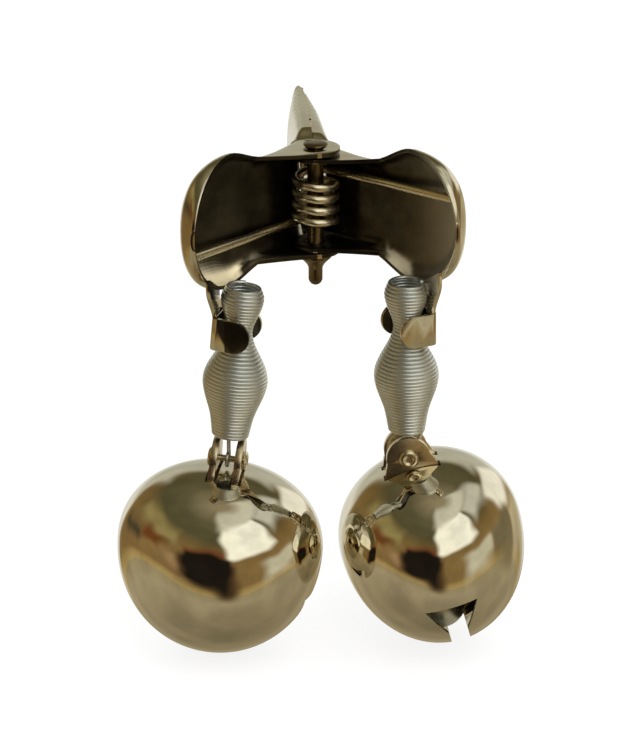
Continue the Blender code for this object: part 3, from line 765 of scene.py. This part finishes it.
def bell_body(wall):
    """The solid inside the bell's face, or inside its cavity when wall is its thickness."""
    dome = DOME_HEIGHT - wall
    bowl = BOWL_DEPTH - wall
    profile = [(0, dome)]
    for k in range(1, BELL_RINGS):
        angle = math.pi / 2 * (1 - k / BELL_RINGS)
        lift = math.sin(angle) ** (2 / DOME_POWER)
        profile.append((math.cos(angle) ** (2 / DOME_POWER), dome * lift))
    profile.append((1, 0))
    for k in range(1, BELL_RINGS):
        angle = math.pi / 2 * k / BELL_RINGS
        lift = math.sin(angle) ** (2 / BOWL_POWER)
        profile.append((math.cos(angle) ** (2 / BOWL_POWER), -bowl * lift))
    profile.append((0, -bowl))
    mesh = lathe(profile[::-1], BELL_SEGMENTS)
    stretch = Matrix.Diagonal((BELL_RADIUS - wall, BELL_SIDE_RADIUS - wall, 1, 1))
    return turned(mesh, Matrix.Translation((0, 0, bell_level())) @ stretch)


def slot_tool():
    """The slot across the bowl, which widens where it runs up the ends."""
    level = bell_level()
    narrow = SLOT_WIDTH / 2
    wide = SLOT_END_WIDTH / 2
    deep = level - BOWL_DEPTH * CUTTER_REACH
    half = [(narrow, deep), (narrow, level - SLOT_NARROW_DROP), (wide, level - SLOT_END_DROP)]
    outline = [(-y, z) for y, z in half[:1]] + half + [(-y, z) for y, z in half[:0:-1]]
    return prism(outline, BELL_RADIUS * CUTTER_REACH)


def box(centre, size):
    half = [value / 2 for value in size]
    outline = [(y * half[1], z * half[2]) for y, z in SQUARE]
    return turned(prism(outline, half[0]), Matrix.Translation(centre))


def strap_slits():
    """Two slits through the crown for the bracket's legs."""
    middle = (BRACKET_GAP + BRACKET_SHEET) / 2
    size = (BRACKET_SHEET + 2 * RUNNING_GAP, BRACKET_FOOT + 2 * RUNNING_GAP, DOME_HEIGHT)
    return [box((side * middle, 0, -RIVET_HEIGHT), size) for side in (-1, 1)]


def shell_normal(point, wall):
    """Outward normal of the bell's face, or of its cavity, through a point in the rivet's frame."""
    z = point.z - bell_level()
    wide = BELL_RADIUS - wall
    deep = BELL_SIDE_RADIUS - wall
    power = DOME_POWER if z > 0 else BOWL_POWER
    tall = (DOME_HEIGHT if z > 0 else BOWL_DEPTH) - wall
    radius = math.hypot(point.x / wide, point.y / deep)
    flat = max(radius, 1e-4) ** (power - 2)
    lift = math.copysign((abs(z) / tall) ** (power - 1) / tall, z)
    return Vector((flat * point.x / wide ** 2, flat * point.y / deep ** 2, lift)).normalized()


def polished(mesh):
    """Sets the exact normals of the bell's curved faces, so that reflections run smoothly."""
    mesh.shade_smooth()
    normals = []
    corner_normals = [Vector(corner.vector) for corner in mesh.corner_normals]
    for face in mesh.polygons:
        outer = shell_normal(face.center, 0)
        inner = -shell_normal(face.center, BELL_WALL)
        for corner in face.loop_indices:
            point = mesh.vertices[mesh.loops[corner].vertex_index].co
            if face.normal.dot(outer) > CURVED_FACE_MATCH:
                normals.append(shell_normal(point, 0))
            elif face.normal.dot(inner) > CURVED_FACE_MATCH:
                normals.append(-shell_normal(point, BELL_WALL))
            else:
                normals.append(corner_normals[corner])
    mesh.normals_split_custom_set([tuple(normal) for normal in normals])
    return mesh


def bell_shell():
    cuts = [bell_body(BELL_WALL), slot_tool(), *strap_slits()]
    return carved(bell_body(0), [("DIFFERENCE", cut) for cut in cuts])


def crown_sag():
    """How far the crown falls away under the corners of the bracket."""
    share = math.hypot(BRACKET_FOOT / 2 / BELL_SIDE_RADIUS, BRACKET_GAP / 2 / BELL_RADIUS)
    return DOME_HEIGHT * (1 - math.sqrt(1 - share ** 2))


def bracket():
    """Strap folded to a U under the crown, with its two ears outside round the rivet."""
    base_top = -RIVET_HEIGHT - BELL_WALL - RUNNING_GAP - crown_sag()
    base = base_top - BRACKET_SHEET
    foot = BRACKET_FOOT / 2
    outline = [(-foot, base), (foot, base), (foot, -RIVET_HEIGHT)]
    arc = 40
    for k in range(arc + 1):
        angle = math.pi * k / arc
        outline.append((EAR_TOP_RADIUS * math.cos(angle), EAR_TOP_RADIUS * math.sin(angle)))
    outline.append((-foot, -RIVET_HEIGHT))
    block = prism(outline, BRACKET_GAP / 2 + BRACKET_SHEET)
    top = EAR_TOP_RADIUS * CUTTER_REACH
    hollow_size = (BRACKET_GAP, BRACKET_FOOT * CUTTER_REACH, top - base_top)
    hollow = box((0, 0, (top + base_top) / 2), hollow_size)
    hole = cylinder(RIVET_RADIUS + RUNNING_GAP / 2, BRACKET_GAP * CUTTER_REACH)
    return carved(block, [("DIFFERENCE", cut) for cut in (hollow, turned(hole, Z_TO_X))])


def rivet():
    """Rivet along X with a low rolled head at each end."""
    grip = BRACKET_GAP / 2 + BRACKET_SHEET + RUNNING_GAP / 2
    steps = 20
    upper = []
    for k in range(steps + 1):
        height = RIVET_HEAD_HEIGHT * smooth_curve(ROLLED_HEAD, k / steps)
        upper.append((RIVET_HEAD_RADIUS * k / steps, grip + height))
    upper += [(RIVET_HEAD_RADIUS, grip), (RIVET_RADIUS, grip)]
    lower = [(radius, -z) for radius, z in upper]
    return carved(turned(lathe(lower + upper[::-1]), Z_TO_X), [], 0)


def pellet(side):
    """The loose ball at rest over the floor of the bowl."""
    rings = 24
    profile = []
    for k in range(rings + 1):
        angle = math.pi * (k / rings - 0.5)
        radius = 0 if k in (0, rings) else PELLET_RADIUS * math.cos(angle)
        profile.append((radius, PELLET_RADIUS * math.sin(angle)))
    arc = BOWL_DEPTH - BELL_WALL - PELLET_RADIUS - PELLET_GAP - PELLET_PIVOT_DROP
    off_axis = 0 if side < 0 else RIGHT_BELL_TILT + RIGHT_LEAN
    hang = Vector((0, -math.sin(off_axis), -math.cos(off_axis))) * arc
    centre = Vector((0, 0, bell_level() - PELLET_PIVOT_DROP)) + hang
    return turned(lathe(profile), Matrix.Translation(centre))


# Finishes


class Nodes:
    """Short calls for building one node tree."""

    def __init__(self, tree):
        self.tree = tree
        self.tree.nodes.clear()

    def add(self, kind, inputs=None, **settings):
        node = self.tree.nodes.new(kind)
        for name, value in settings.items():
            setattr(node, name, value)
        for name, value in (inputs or {}).items():
            socket = node.inputs[name]
            if isinstance(value, bpy.types.NodeSocket):
                self.tree.links.new(value, socket)
            else:
                socket.default_value = value
        return node

    def noise(self, where, scale, detail=4, roughness=0.55):
        inputs = {"Vector": where, "Scale": scale, "Detail": detail, "Roughness": roughness}
        return self.add("ShaderNodeTexNoise", inputs).outputs["Fac"]

    def ramp(self, value, stops):
        """A ramp through (place, grey or colour) stops."""
        node = self.add("ShaderNodeValToRGB", {"Fac": value})
        band = node.color_ramp
        while len(band.elements) > 1:
            band.elements.remove(band.elements[-1])
        for number, (at, colour) in enumerate(stops):
            element = band.elements[0] if number == 0 else band.elements.new(at)
            element.position = at
            if isinstance(colour, (int, float)):
                colour = (colour, colour, colour)
            element.color = (*colour, 1)
        return node.outputs["Color"]

    def mix(self, share, a, b, kind="MIX"):
        node = self.add("ShaderNodeMix", data_type="RGBA", blend_type=kind)
        for name, value in (("Factor", share), ("A", a), ("B", b)):
            socket = next(s for s in node.inputs if s.name == name and s.enabled)
            if isinstance(value, bpy.types.NodeSocket):
                self.tree.links.new(value, socket)
            else:
                socket.default_value = value if name == "Factor" else (*value, 1)
        return next(s for s in node.outputs if s.enabled)

    def math(self, operation, first, second=0.0):
        inputs = {0: first, 1: second}
        return self.add("ShaderNodeMath", inputs, operation=operation).outputs[0]

    def soft_step(self, value, start, end, kind="SMOOTHSTEP"):
        """Rises from 0 at start to 1 at end, which may lie below the start."""
        inputs = {"Value": value, "From Min": start, "From Max": end}
        return self.add("ShaderNodeMapRange", inputs, interpolation_type=kind).outputs[0]

    def warped(self, value, where, scale, amount):
        """The value moved up and down by half the amount, on a smooth pattern."""
        shift = self.math("SUBTRACT", self.noise(where, scale, 0), 0.5)
        return self.math("ADD", value, self.math("MULTIPLY", shift, amount))

    def bump(self, height, strength, distance, before=None):
        inputs = {"Height": height, "Strength": strength, "Distance": distance}
        if before is not None:
            inputs["Normal"] = before
        return self.add("ShaderNodeBump", inputs).outputs["Normal"]


def new_material(name):
    """A material, its node tree to fill and the object's own coordinates."""
    made = bpy.data.materials.new(name)
    made.use_nodes = True
    n = Nodes(made.node_tree)
    return made, n, n.add("ShaderNodeTexCoord").outputs["Object"]


# Scales and depths of the patterns in the metal
BLOTCH_SCALE = 210
FINE_SCALE = 1500
WORN_THROUGH_SCALE = 330
DENT_SCALE = 95
STREAK_SCALE = 6
STREAK_STRETCH = (60, 900, 900)
FINE_DEPTH = 0.00001
STREAK_DEPTH = 0.000008
SPECK_SHADE = 0.55
# What shows where a clip half has painted shade or a painted sheen
PAINTED_SHADE_GLOSS = 0.34
PAINTED_SHEEN_COLOUR = (0.66, 0.58, 0.37)
PAINTED_SHEEN_GLOSS = 0.38


def plated(name, base, stain, smooth, worn, waviness, grain, speck, painted_shade=None, copper=None):
    """Metal with stains, scratches, soft dents and, with a shade colour, painted shade and sheen.
    """
    made, n, where = new_material(name)
    blotch = n.noise(where, BLOTCH_SCALE, 5, 0.6)
    fine = n.noise(where, FINE_SCALE, 3)
    stretched = n.add("ShaderNodeMapping", {"Vector": where, "Scale": STREAK_STRETCH})
    streak = n.noise(stretched.outputs["Vector"], STREAK_SCALE, 3, 0.7)
    dull = n.ramp(blotch, ((0.40, 0.0), (0.72, 1.0)))
    colour = n.mix(dull, base, stain)
    specks = n.ramp(fine, ((0.62, 0.0), (0.74, speck)))
    colour = n.mix(specks, colour, tuple(value * SPECK_SHADE for value in stain))
    metal = 1.0
    gloss = n.mix(dull, (smooth,) * 3, (worn,) * 3)
    if copper:
        patches = n.noise(where, WORN_THROUGH_SCALE, 2, 0.5)
        worn_through = n.ramp(patches, ((0.58, 0.0), (0.70, 0.4)))
        colour = n.mix(worn_through, colour, copper)
    if painted_shade:
        # Painted shade: the clip's inside and crimp ears are darkened and dulled where the inside
        # attribute marks them, mottled by the blotches
        inner = n.add("ShaderNodeAttribute", attribute_name="inside").outputs["Fac"]
        cloud = n.ramp(blotch, ((0.30, 1.0), (0.75, 0.86)))
        cover = n.math("MULTIPLY", inner, cloud)
        colour = n.mix(cover, colour, painted_shade)
        gloss = n.mix(inner, gloss, (PAINTED_SHADE_GLOSS,) * 3)
        # Painted sheen: a pale, less metallic colour where the pale attribute marks it, standing in
        # for light on the pad's lower inside
        pale = n.add("ShaderNodeAttribute", attribute_name="pale").outputs["Fac"]
        colour = n.mix(pale, colour, PAINTED_SHEEN_COLOUR)
        gloss = n.mix(pale, gloss, (PAINTED_SHEEN_GLOSS,) * 3)
        metal = n.soft_step(pale, 1.4, 0.0, "LINEAR")
    scratch = n.ramp(streak, ((0.56, 0.0), (0.60, 0.6), (0.64, 0.0)))
    gloss = n.mix(scratch, gloss, (min(1, worn * (1 + 3 * grain)),) * 3)
    dents = n.noise(where, DENT_SCALE, 0)
    normal = n.bump(dents, 1.0, waviness)
    normal = n.bump(fine, grain, FINE_DEPTH, normal)
    normal = n.bump(streak, grain * 0.6, STREAK_DEPTH, normal)
    inputs = {"Base Color": colour, "Metallic": metal, "Roughness": gloss, "Normal": normal}
    shader = n.add("ShaderNodeBsdfPrincipled", inputs)
    n.add("ShaderNodeOutputMaterial", {"Surface": shader.outputs["BSDF"]})
    return made


# Clean and stained colour, smooth and worn gloss, depth of the dents, grain, share of specks, and
# the colours of the painted shade and of the copper under the plate
FINISHES = {
    "clip_nickel": (
        (0.74, 0.69, 0.55), (0.60, 0.52, 0.37), 0.10, 0.20, 0.00004, 0.10, 0.25,
        # The painted shade's colour, then the copper under the plate
        (0.035, 0.030, 0.020), (0.62, 0.40, 0.20),
    ),
    "bell_nickel": ((0.82, 0.775, 0.65), (0.78, 0.72, 0.58), 0.03, 0.07, 0.00003, 0.03, 0.08),
    "strap_nickel": ((0.80, 0.71, 0.51), (0.66, 0.52, 0.33), 0.26, 0.32, 0.00003, 0.015, 0.1),
    "spring_steel": ((0.87, 0.91, 0.92), (0.76, 0.80, 0.81), 0.36, 0.44, 0.0, 0.0, 0.1),
    "wire_nickel": ((0.92, 0.86, 0.68), (0.80, 0.68, 0.48), 0.24, 0.30, 0.0, 0.01, 0.1),
    "pin_bronze": ((0.25, 0.19, 0.10), (0.14, 0.10, 0.055), 0.24, 0.36, 0.00001, 0.1, 0.45),
}

# What the metal mirrors: azimuths, elevations and softness in degrees, and colour
ROOM_PATCHES = (
    (40, 82, -34, -9, 6, (0.58, 0.55, 0.42)),
    (-12, 130, 54, 80, 8, (0.62, 0.60, 0.50)),
    (70, 130, 24, 54, 8, (0.62, 0.61, 0.53)),
    (-6, 60, 8, 56, 5, (1.05, 1.05, 0.94)),
    (108, 152, -10, 20, 5, (1.0, 0.98, 0.88)),
    (150, 215, -12, 31, 6, (0.50, 0.49, 0.41)),
    (-210, -150, -12, 31, 6, (0.50, 0.49, 0.41)),
    (84, 120, -36, -6, 8, (0.20, 0.165, 0.095)),
    (120, 150, -37, -14, 5, (0.50, 0.43, 0.28)),
    (-125, -58, 4, 26, 9, (0.30, 0.245, 0.10)),
    (-136, -98, -20, -6, 8, (0.07, 0.055, 0.03)),
    (150, 210, -34, -6, 6, (0.80, 0.79, 0.72)),
    (-210, -150, -34, -6, 6, (0.80, 0.79, 0.72)),
    (-100, -68, -12, 4, 6, (0.15, 0.055, 0.018)),
    (-64, -40, -34, -12, 6, (0.36, 0.235, 0.12)),
    (-44, -6, 2, 16, 6, (0.17, 0.065, 0.025)),
    (-50, 8, -37, -2, 7, (0.085, 0.048, 0.022)),
    (-42, 0, -35, 8, 5, (0.014, 0.011, 0.008)),
)
# Elevation and colour of the table, the walls and the ceiling behind the patches
ROOM_LEVELS = (
    (-90, (0.22, 0.185, 0.115)), (-62, (0.28, 0.235, 0.145)), (-45, (0.38, 0.325, 0.21)),
    (-38.5, (0.35, 0.29, 0.165)), (-37.5, (0.44, 0.33, 0.14)), (-34.5, (0.38, 0.27, 0.105)),
    (-31, (0.24, 0.155, 0.06)), (-12, (0.26, 0.17, 0.065)), (14, (0.19, 0.125, 0.045)),
    (35, (0.095, 0.085, 0.042)), (60, (0.12, 0.105, 0.055)), (90, (0.32, 0.27, 0.17)),
)
# How the room is bent, in radians, so that its edges don't mirror as straight lines
HORIZON_DIP = 0.40
WARP_SCALE = 2.2
WARP_UP = 0.40
WARP_ROUND = 0.45
WARP_OFFSET = (5, 3, 1)


def room_material():
    """A dim warm room with a pale table, a window, a dark figure and amber shadows."""
    made, n, where = new_material("room")
    axes = n.add("ShaderNodeSeparateXYZ", {"Vector": where}).outputs
    dip = n.math("MULTIPLY", n.math("MULTIPLY", axes["X"], axes["X"]), HORIZON_DIP)
    level = n.math("SUBTRACT", n.math("ARCSINE", axes["Z"]), dip)
    turn = n.math("ARCTAN2", axes["X"], n.math("MULTIPLY", axes["Y"], -1.0))
    bent_level = n.warped(level, where, WARP_SCALE, WARP_UP)
    elsewhere = n.add("ShaderNodeMapping", {"Vector": where, "Location": WARP_OFFSET})
    bent_turn = n.warped(turn, elsewhere.outputs["Vector"], WARP_SCALE, WARP_ROUND)
    share = n.soft_step(level, -math.pi / 2, math.pi / 2, "LINEAR")
    shade = n.ramp(share, [((at + 90) / 180, colour) for at, colour in ROOM_LEVELS])
    for left, right, low, high, soft, colour in ROOM_PATCHES:
        mask = None
        for value, start, end in ((bent_turn, left, right), (bent_level, low, high)):
            inside = n.soft_step(value, math.radians(start - soft), math.radians(start + soft))
            outside = n.soft_step(value, math.radians(end + soft), math.radians(end - soft))
            for edge in (inside, outside):
                mask = edge if mask is None else n.math("MULTIPLY", mask, edge)
        shade = n.mix(mask, shade, colour)
    mottle = n.ramp(n.noise(where, 2.5, 2, 0.5), ((0.35, 0.88), (0.65, 1.10)))
    shade = n.mix(1.0, shade, mottle, "MULTIPLY")
    glow = n.add("ShaderNodeEmission", {"Color": shade, "Strength": 1.0})
    n.add("ShaderNodeOutputMaterial", {"Surface": glow.outputs["Emission"]})
    return made


FLOOR_GLOW = 0.82
FLOOR_TOOTH_SCALE = 900


def floor_material():
    """Pale paper that the camera sees as nearly white and that keeps the shadow."""
    made, n, where = new_material("floor")
    tooth = n.noise(where, FLOOR_TOOTH_SCALE, 2)
    colour = n.ramp(tooth, ((0.0, 0.86), (1.0, 0.90)))
    paper = n.add("ShaderNodeBsdfDiffuse", {"Color": colour}).outputs["BSDF"]
    white = n.add("ShaderNodeEmission", {"Color": (1, 1, 1, 1), "Strength": 1.0})
    path = n.add("ShaderNodeLightPath")
    seen = n.math("MULTIPLY", path.outputs["Is Camera Ray"], FLOOR_GLOW)
    both = n.add("ShaderNodeMixShader", {0: seen, 1: paper, 2: white.outputs["Emission"]})
    n.add("ShaderNodeOutputMaterial", {"Surface": both.outputs[0]})
    return made


# Scene

# The middle of the object, which the room and the lights surround
AIM = Vector((0, -0.024, -0.030))
# Azimuth, elevation, distance, width, power and colour
LIGHTS = {
    "key": (30, 50, 0.6, 0.5, 3.2, (1.0, 0.98, 0.95)),
    "fill": (-70, 35, 0.7, 0.6, 2.0, (1.0, 0.99, 0.97)),
    "front": (12, 12, 0.6, 0.3, 2.4, (1.0, 0.98, 0.94)),
    "back": (190, 50, 0.7, 0.6, 2.0, (1.0, 0.99, 0.97)),
}
FLOOR_REACH = 3
FLOOR_GAP = 0.0012
WORLD_LEVEL = 0.7


def dressed(name, mesh, material, slot, body, *nodes):
    """A visible piece with its finish, in place of the CAD nodes, riding on its body."""
    mesh.materials.clear()
    mesh.materials.append(material)
    made = linked(name, mesh)
    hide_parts(*nodes)
    if body:
        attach(made, body)
    return made


def cut_along_fold(mesh, fold):
    """Cuts the crimp's faces along its fold, so that the painted shade on the ears ends on one
    line.
    """
    work = bmesh.new()
    work.from_mesh(mesh)
    crimp = [face for face in work.faces if face.calc_center_median().z < -PAD_HALF_HEIGHT]
    parts = dict.fromkeys(part for face in crimp for part in (face, *face.edges, *face.verts))
    bmesh.ops.bisect_plane(work, geom=list(parts), plane_co=(fold, 0, 0), plane_no=(1, 0, 0))
    work.to_mesh(mesh)
    work.free()


def pad_tone(face, point, side):
    """How much painted shade and painted sheen the inside of the pad and channel gets at one point.
    """
    back = PIN_POINT.y - point.y
    out = abs(point.x)
    end = ease((back - LIP_START) / (PAD_LENGTH - LIP_START))
    low = ease((face.normal.z - FACES_IN) / FACES_UP_EASE)
    low *= ease((back - LIP_START / 2) / SHEEN_EASE)
    if side < 0:
        sheen = LEFT_SHEEN * ease((out - LEFT_SHEEN_FROM) / LEFT_EDGE)
        pale = low * (sheen + LEFT_GLOW * ease((LEFT_GLOW_TO - out) / LEFT_EDGE))
        return 1 - pale, pale
    band = ease((out - RIGHT_SHEEN_FROM) / RIGHT_NEAR_EDGE)
    band *= ease((RIGHT_SHEEN_TO - out) / RIGHT_FAR_EDGE)
    pale = RIGHT_SHEEN * low * band + RIGHT_END_SHEEN * end
    return 1 - pale - RIGHT_END_LESS_SHADE * end, pale


def crimp_tone(face, side, fold):
    """Share of painted shade on the crimp: the inner faces of the back ears, and the left front
    ear.
    """
    if face.center.y > -GRIP_TO_PIN - STEM_REACH:
        return EAR_PAINTED_SHADE if face.normal.y < -FACES_FRONT else 0.0
    return EAR_PAINTED_SHADE if side < 0 and face.center.x > fold else 0.0


def toned(mesh, side):
    """Writes the painted shade and painted sheen of each corner of a clip half, for the finish to
    read.
    """
    fold = CRIMP_FOLD_LINE * side
    cut_along_fold(mesh, fold)
    # inside carries the painted shade, pale the painted sheen
    inside = mesh.attributes.new("inside", "FLOAT", "CORNER")
    pale = mesh.attributes.new("pale", "FLOAT", "CORNER")
    lowest = -CRIMP_DROP / 2 - PAD_HALF_HEIGHT / 4
    for face in mesh.polygons:
        up = math.copysign(1, face.center.z)
        inward = max(-side * face.normal.x, -up * face.normal.z)
        in_pad = face.center.z > lowest and inward > FACES_IN
        in_crimp = face.center.z < -PAD_HALF_HEIGHT and face.normal.y < -FACES_IN
        for corner in face.loop_indices:
            point = mesh.vertices[mesh.loops[corner].vertex_index].co
            dark = 0.0
            light = 0.0
            if in_pad and point.y - PIN_POINT.y < JAW_ROOT:
                dark, light = pad_tone(face, point, side)
            elif in_crimp:
                dark = crimp_tone(face, side, fold)
            inside.data[corner].value = max(0, dark)
            pale.data[corner].value = light
    return mesh


def smoothed(mesh, angle=SHEET_SMOOTH_ANGLE):
    """Smooth shading, with the edges sharper than the angle left hard."""
    mesh.shade_smooth()
    mesh.set_sharp_from_angle(angle=math.radians(angle))
    return mesh


def towards(azimuth, elevation):
    """Direction from the object at a view's azimuth and elevation, in degrees."""
    a, e = math.radians(azimuth), math.radians(elevation)
    return Vector((math.sin(a) * math.cos(e), -math.cos(a) * math.cos(e), math.sin(e)))


def camera():
    """Camera at the photograph's angle, placed so that the pin lands where the photo has it."""
    back = towards(-5, 22)
    distance = 0.350
    pixels_per_metre = 8150
    frame_width, frame_height = 640, 736
    pin_pixel = (315.5, 199)
    right = Vector((0, 0, 1)).cross(back).normalized()
    up = back.cross(right)
    across = (pin_pixel[0] - frame_width / 2) / pixels_per_metre
    above = (frame_height / 2 - pin_pixel[1]) / pixels_per_metre
    spot = PIN_POINT + back * distance - right * across - up * above
    data = bpy.data.cameras.new("camera")
    data.sensor_fit = "VERTICAL"
    data.sensor_height = 24
    data.lens = pixels_per_metre * distance * data.sensor_height / frame_height
    data.clip_start = 0.01
    made = linked("camera", data)
    made.matrix_world = Matrix.Translation(spot) @ Matrix((right, up, back)).transposed().to_4x4()
    bpy.context.scene.camera = made


def area_light(name, azimuth, elevation, distance, width, power, colour):
    """A square light that faces the object and that metal doesn't mirror."""
    direction = towards(azimuth, elevation)
    data = bpy.data.lights.new(name, "AREA")
    data.shape = "RECTANGLE"
    data.size, data.size_y = width, width
    data.energy = power
    data.color = colour
    made = linked(name, data)
    made.location = AIM + direction.normalized() * distance
    made.rotation_euler = direction.to_track_quat("Z", "Y").to_euler()
    made.visible_glossy = False


def studio(floor_height):
    """Floor, room and lights, in a white world that shows brighter than it lights."""
    corners = [(x * FLOOR_REACH, y * FLOOR_REACH, 0) for x, y in SQUARE]
    floor = linked("floor", new_mesh("floor", corners, [(0, 1, 2, 3)]))
    floor.location.z = floor_height
    floor.data.materials.append(floor_material())
    floor.visible_glossy = False

    sphere = bpy.data.meshes.new("room")
    work = bmesh.new()
    bmesh.ops.create_uvsphere(work, u_segments=48, v_segments=24, radius=1.0)
    work.to_mesh(sphere)
    work.free()
    sphere.materials.append(room_material())
    room = linked("room", sphere)
    room.location = AIM
    room.visible_camera = False
    room.visible_diffuse = False
    room.visible_shadow = False
    room.visible_transmission = False

    for name, light in LIGHTS.items():
        area_light(name, *light)

    world = bpy.data.worlds.new("studio")
    world.use_nodes = True
    bpy.context.scene.world = world
    n = Nodes(world.node_tree)
    path = n.add("ShaderNodeLightPath")
    seen = n.math("MAXIMUM", path.outputs["Is Camera Ray"], path.outputs["Is Glossy Ray"])
    level = n.add("ShaderNodeMapRange", {"Value": seen, "To Min": WORLD_LEVEL, "To Max": 1.0})
    back = n.add("ShaderNodeBackground", {"Color": (1, 1, 1, 1), "Strength": level.outputs[0]})
    n.add("ShaderNodeOutputWorld", {"Surface": back.outputs[0]})


def build():
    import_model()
    cad_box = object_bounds()
    bpy.context.scene.view_settings.view_transform = "Standard"
    camera()

    metals = {name: plated(name, *finish) for name, finish in FINISHES.items()}
    clip_nickel = metals["clip_nickel"]
    strap_nickel = metals["strap_nickel"]
    steel = metals["spring_steel"]

    for side, word in ((-1, "left"), (1, "right")):
        clip_body = f"clip_{word}"
        stem_node = f"{word}_stem_spring"
        half = toned(smoothed(clip_half(side)), side)
        dressed(f"{word}_clip", half, clip_nickel, "clip_nickel", clip_body, f"{word}_clip_half")

        slot_turn = LEFT_SLOT_TURN if side < 0 else RIGHT_SLOT_TURN
        points = [stem_frame(side) @ point for point in stem_points(slot_turn + math.pi / 2)]
        stem = smoothed(wire(points, STEM_WIRE), WIRE_SMOOTH_ANGLE)
        coil = dressed(f"{word}_stem_coil", stem, steel, "spring_steel", None, stem_node)
        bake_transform(coil)

        frame = bell_frame(side)
        bell = f"{word}_bell"
        shell = turned(polished(bell_shell()), frame)
        dressed(bell, shell, metals["bell_nickel"], "bell_nickel", bell, f"{word}_bell_shell")
        strap = smoothed(turned(bracket(), frame))
        dressed(f"{word}_strap", strap, strap_nickel, "clip_nickel", bell, f"{word}_bell_bracket")
        peg = smoothed(turned(rivet(), frame))
        dressed(f"{word}_peg", peg, strap_nickel, "clip_nickel", bell, f"{word}_bell_rivet")
        ball = smoothed(turned(pellet(side), frame))
        ball_body = f"{word}_ball"
        dressed(f"{ball_body}_bearing", ball, steel, "spring_steel", ball_body, f"{word}_pellet")

    pin = smoothed(hinge_pin())
    dressed("pin", pin, metals["pin_bronze"], "pin_bronze", "clip_left", "hinge_pin")
    torsion = smoothed(wire(torsion_points(), COIL_WIRE), WIRE_SMOOTH_ANGLE)
    wire_nickel = metals["wire_nickel"]
    coil = dressed("torsion_coil", torsion, wire_nickel, "spring_steel", None, "torsion_spring")
    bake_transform(coil)

    studio(cad_box[0][2] - FLOOR_GAP)


build()
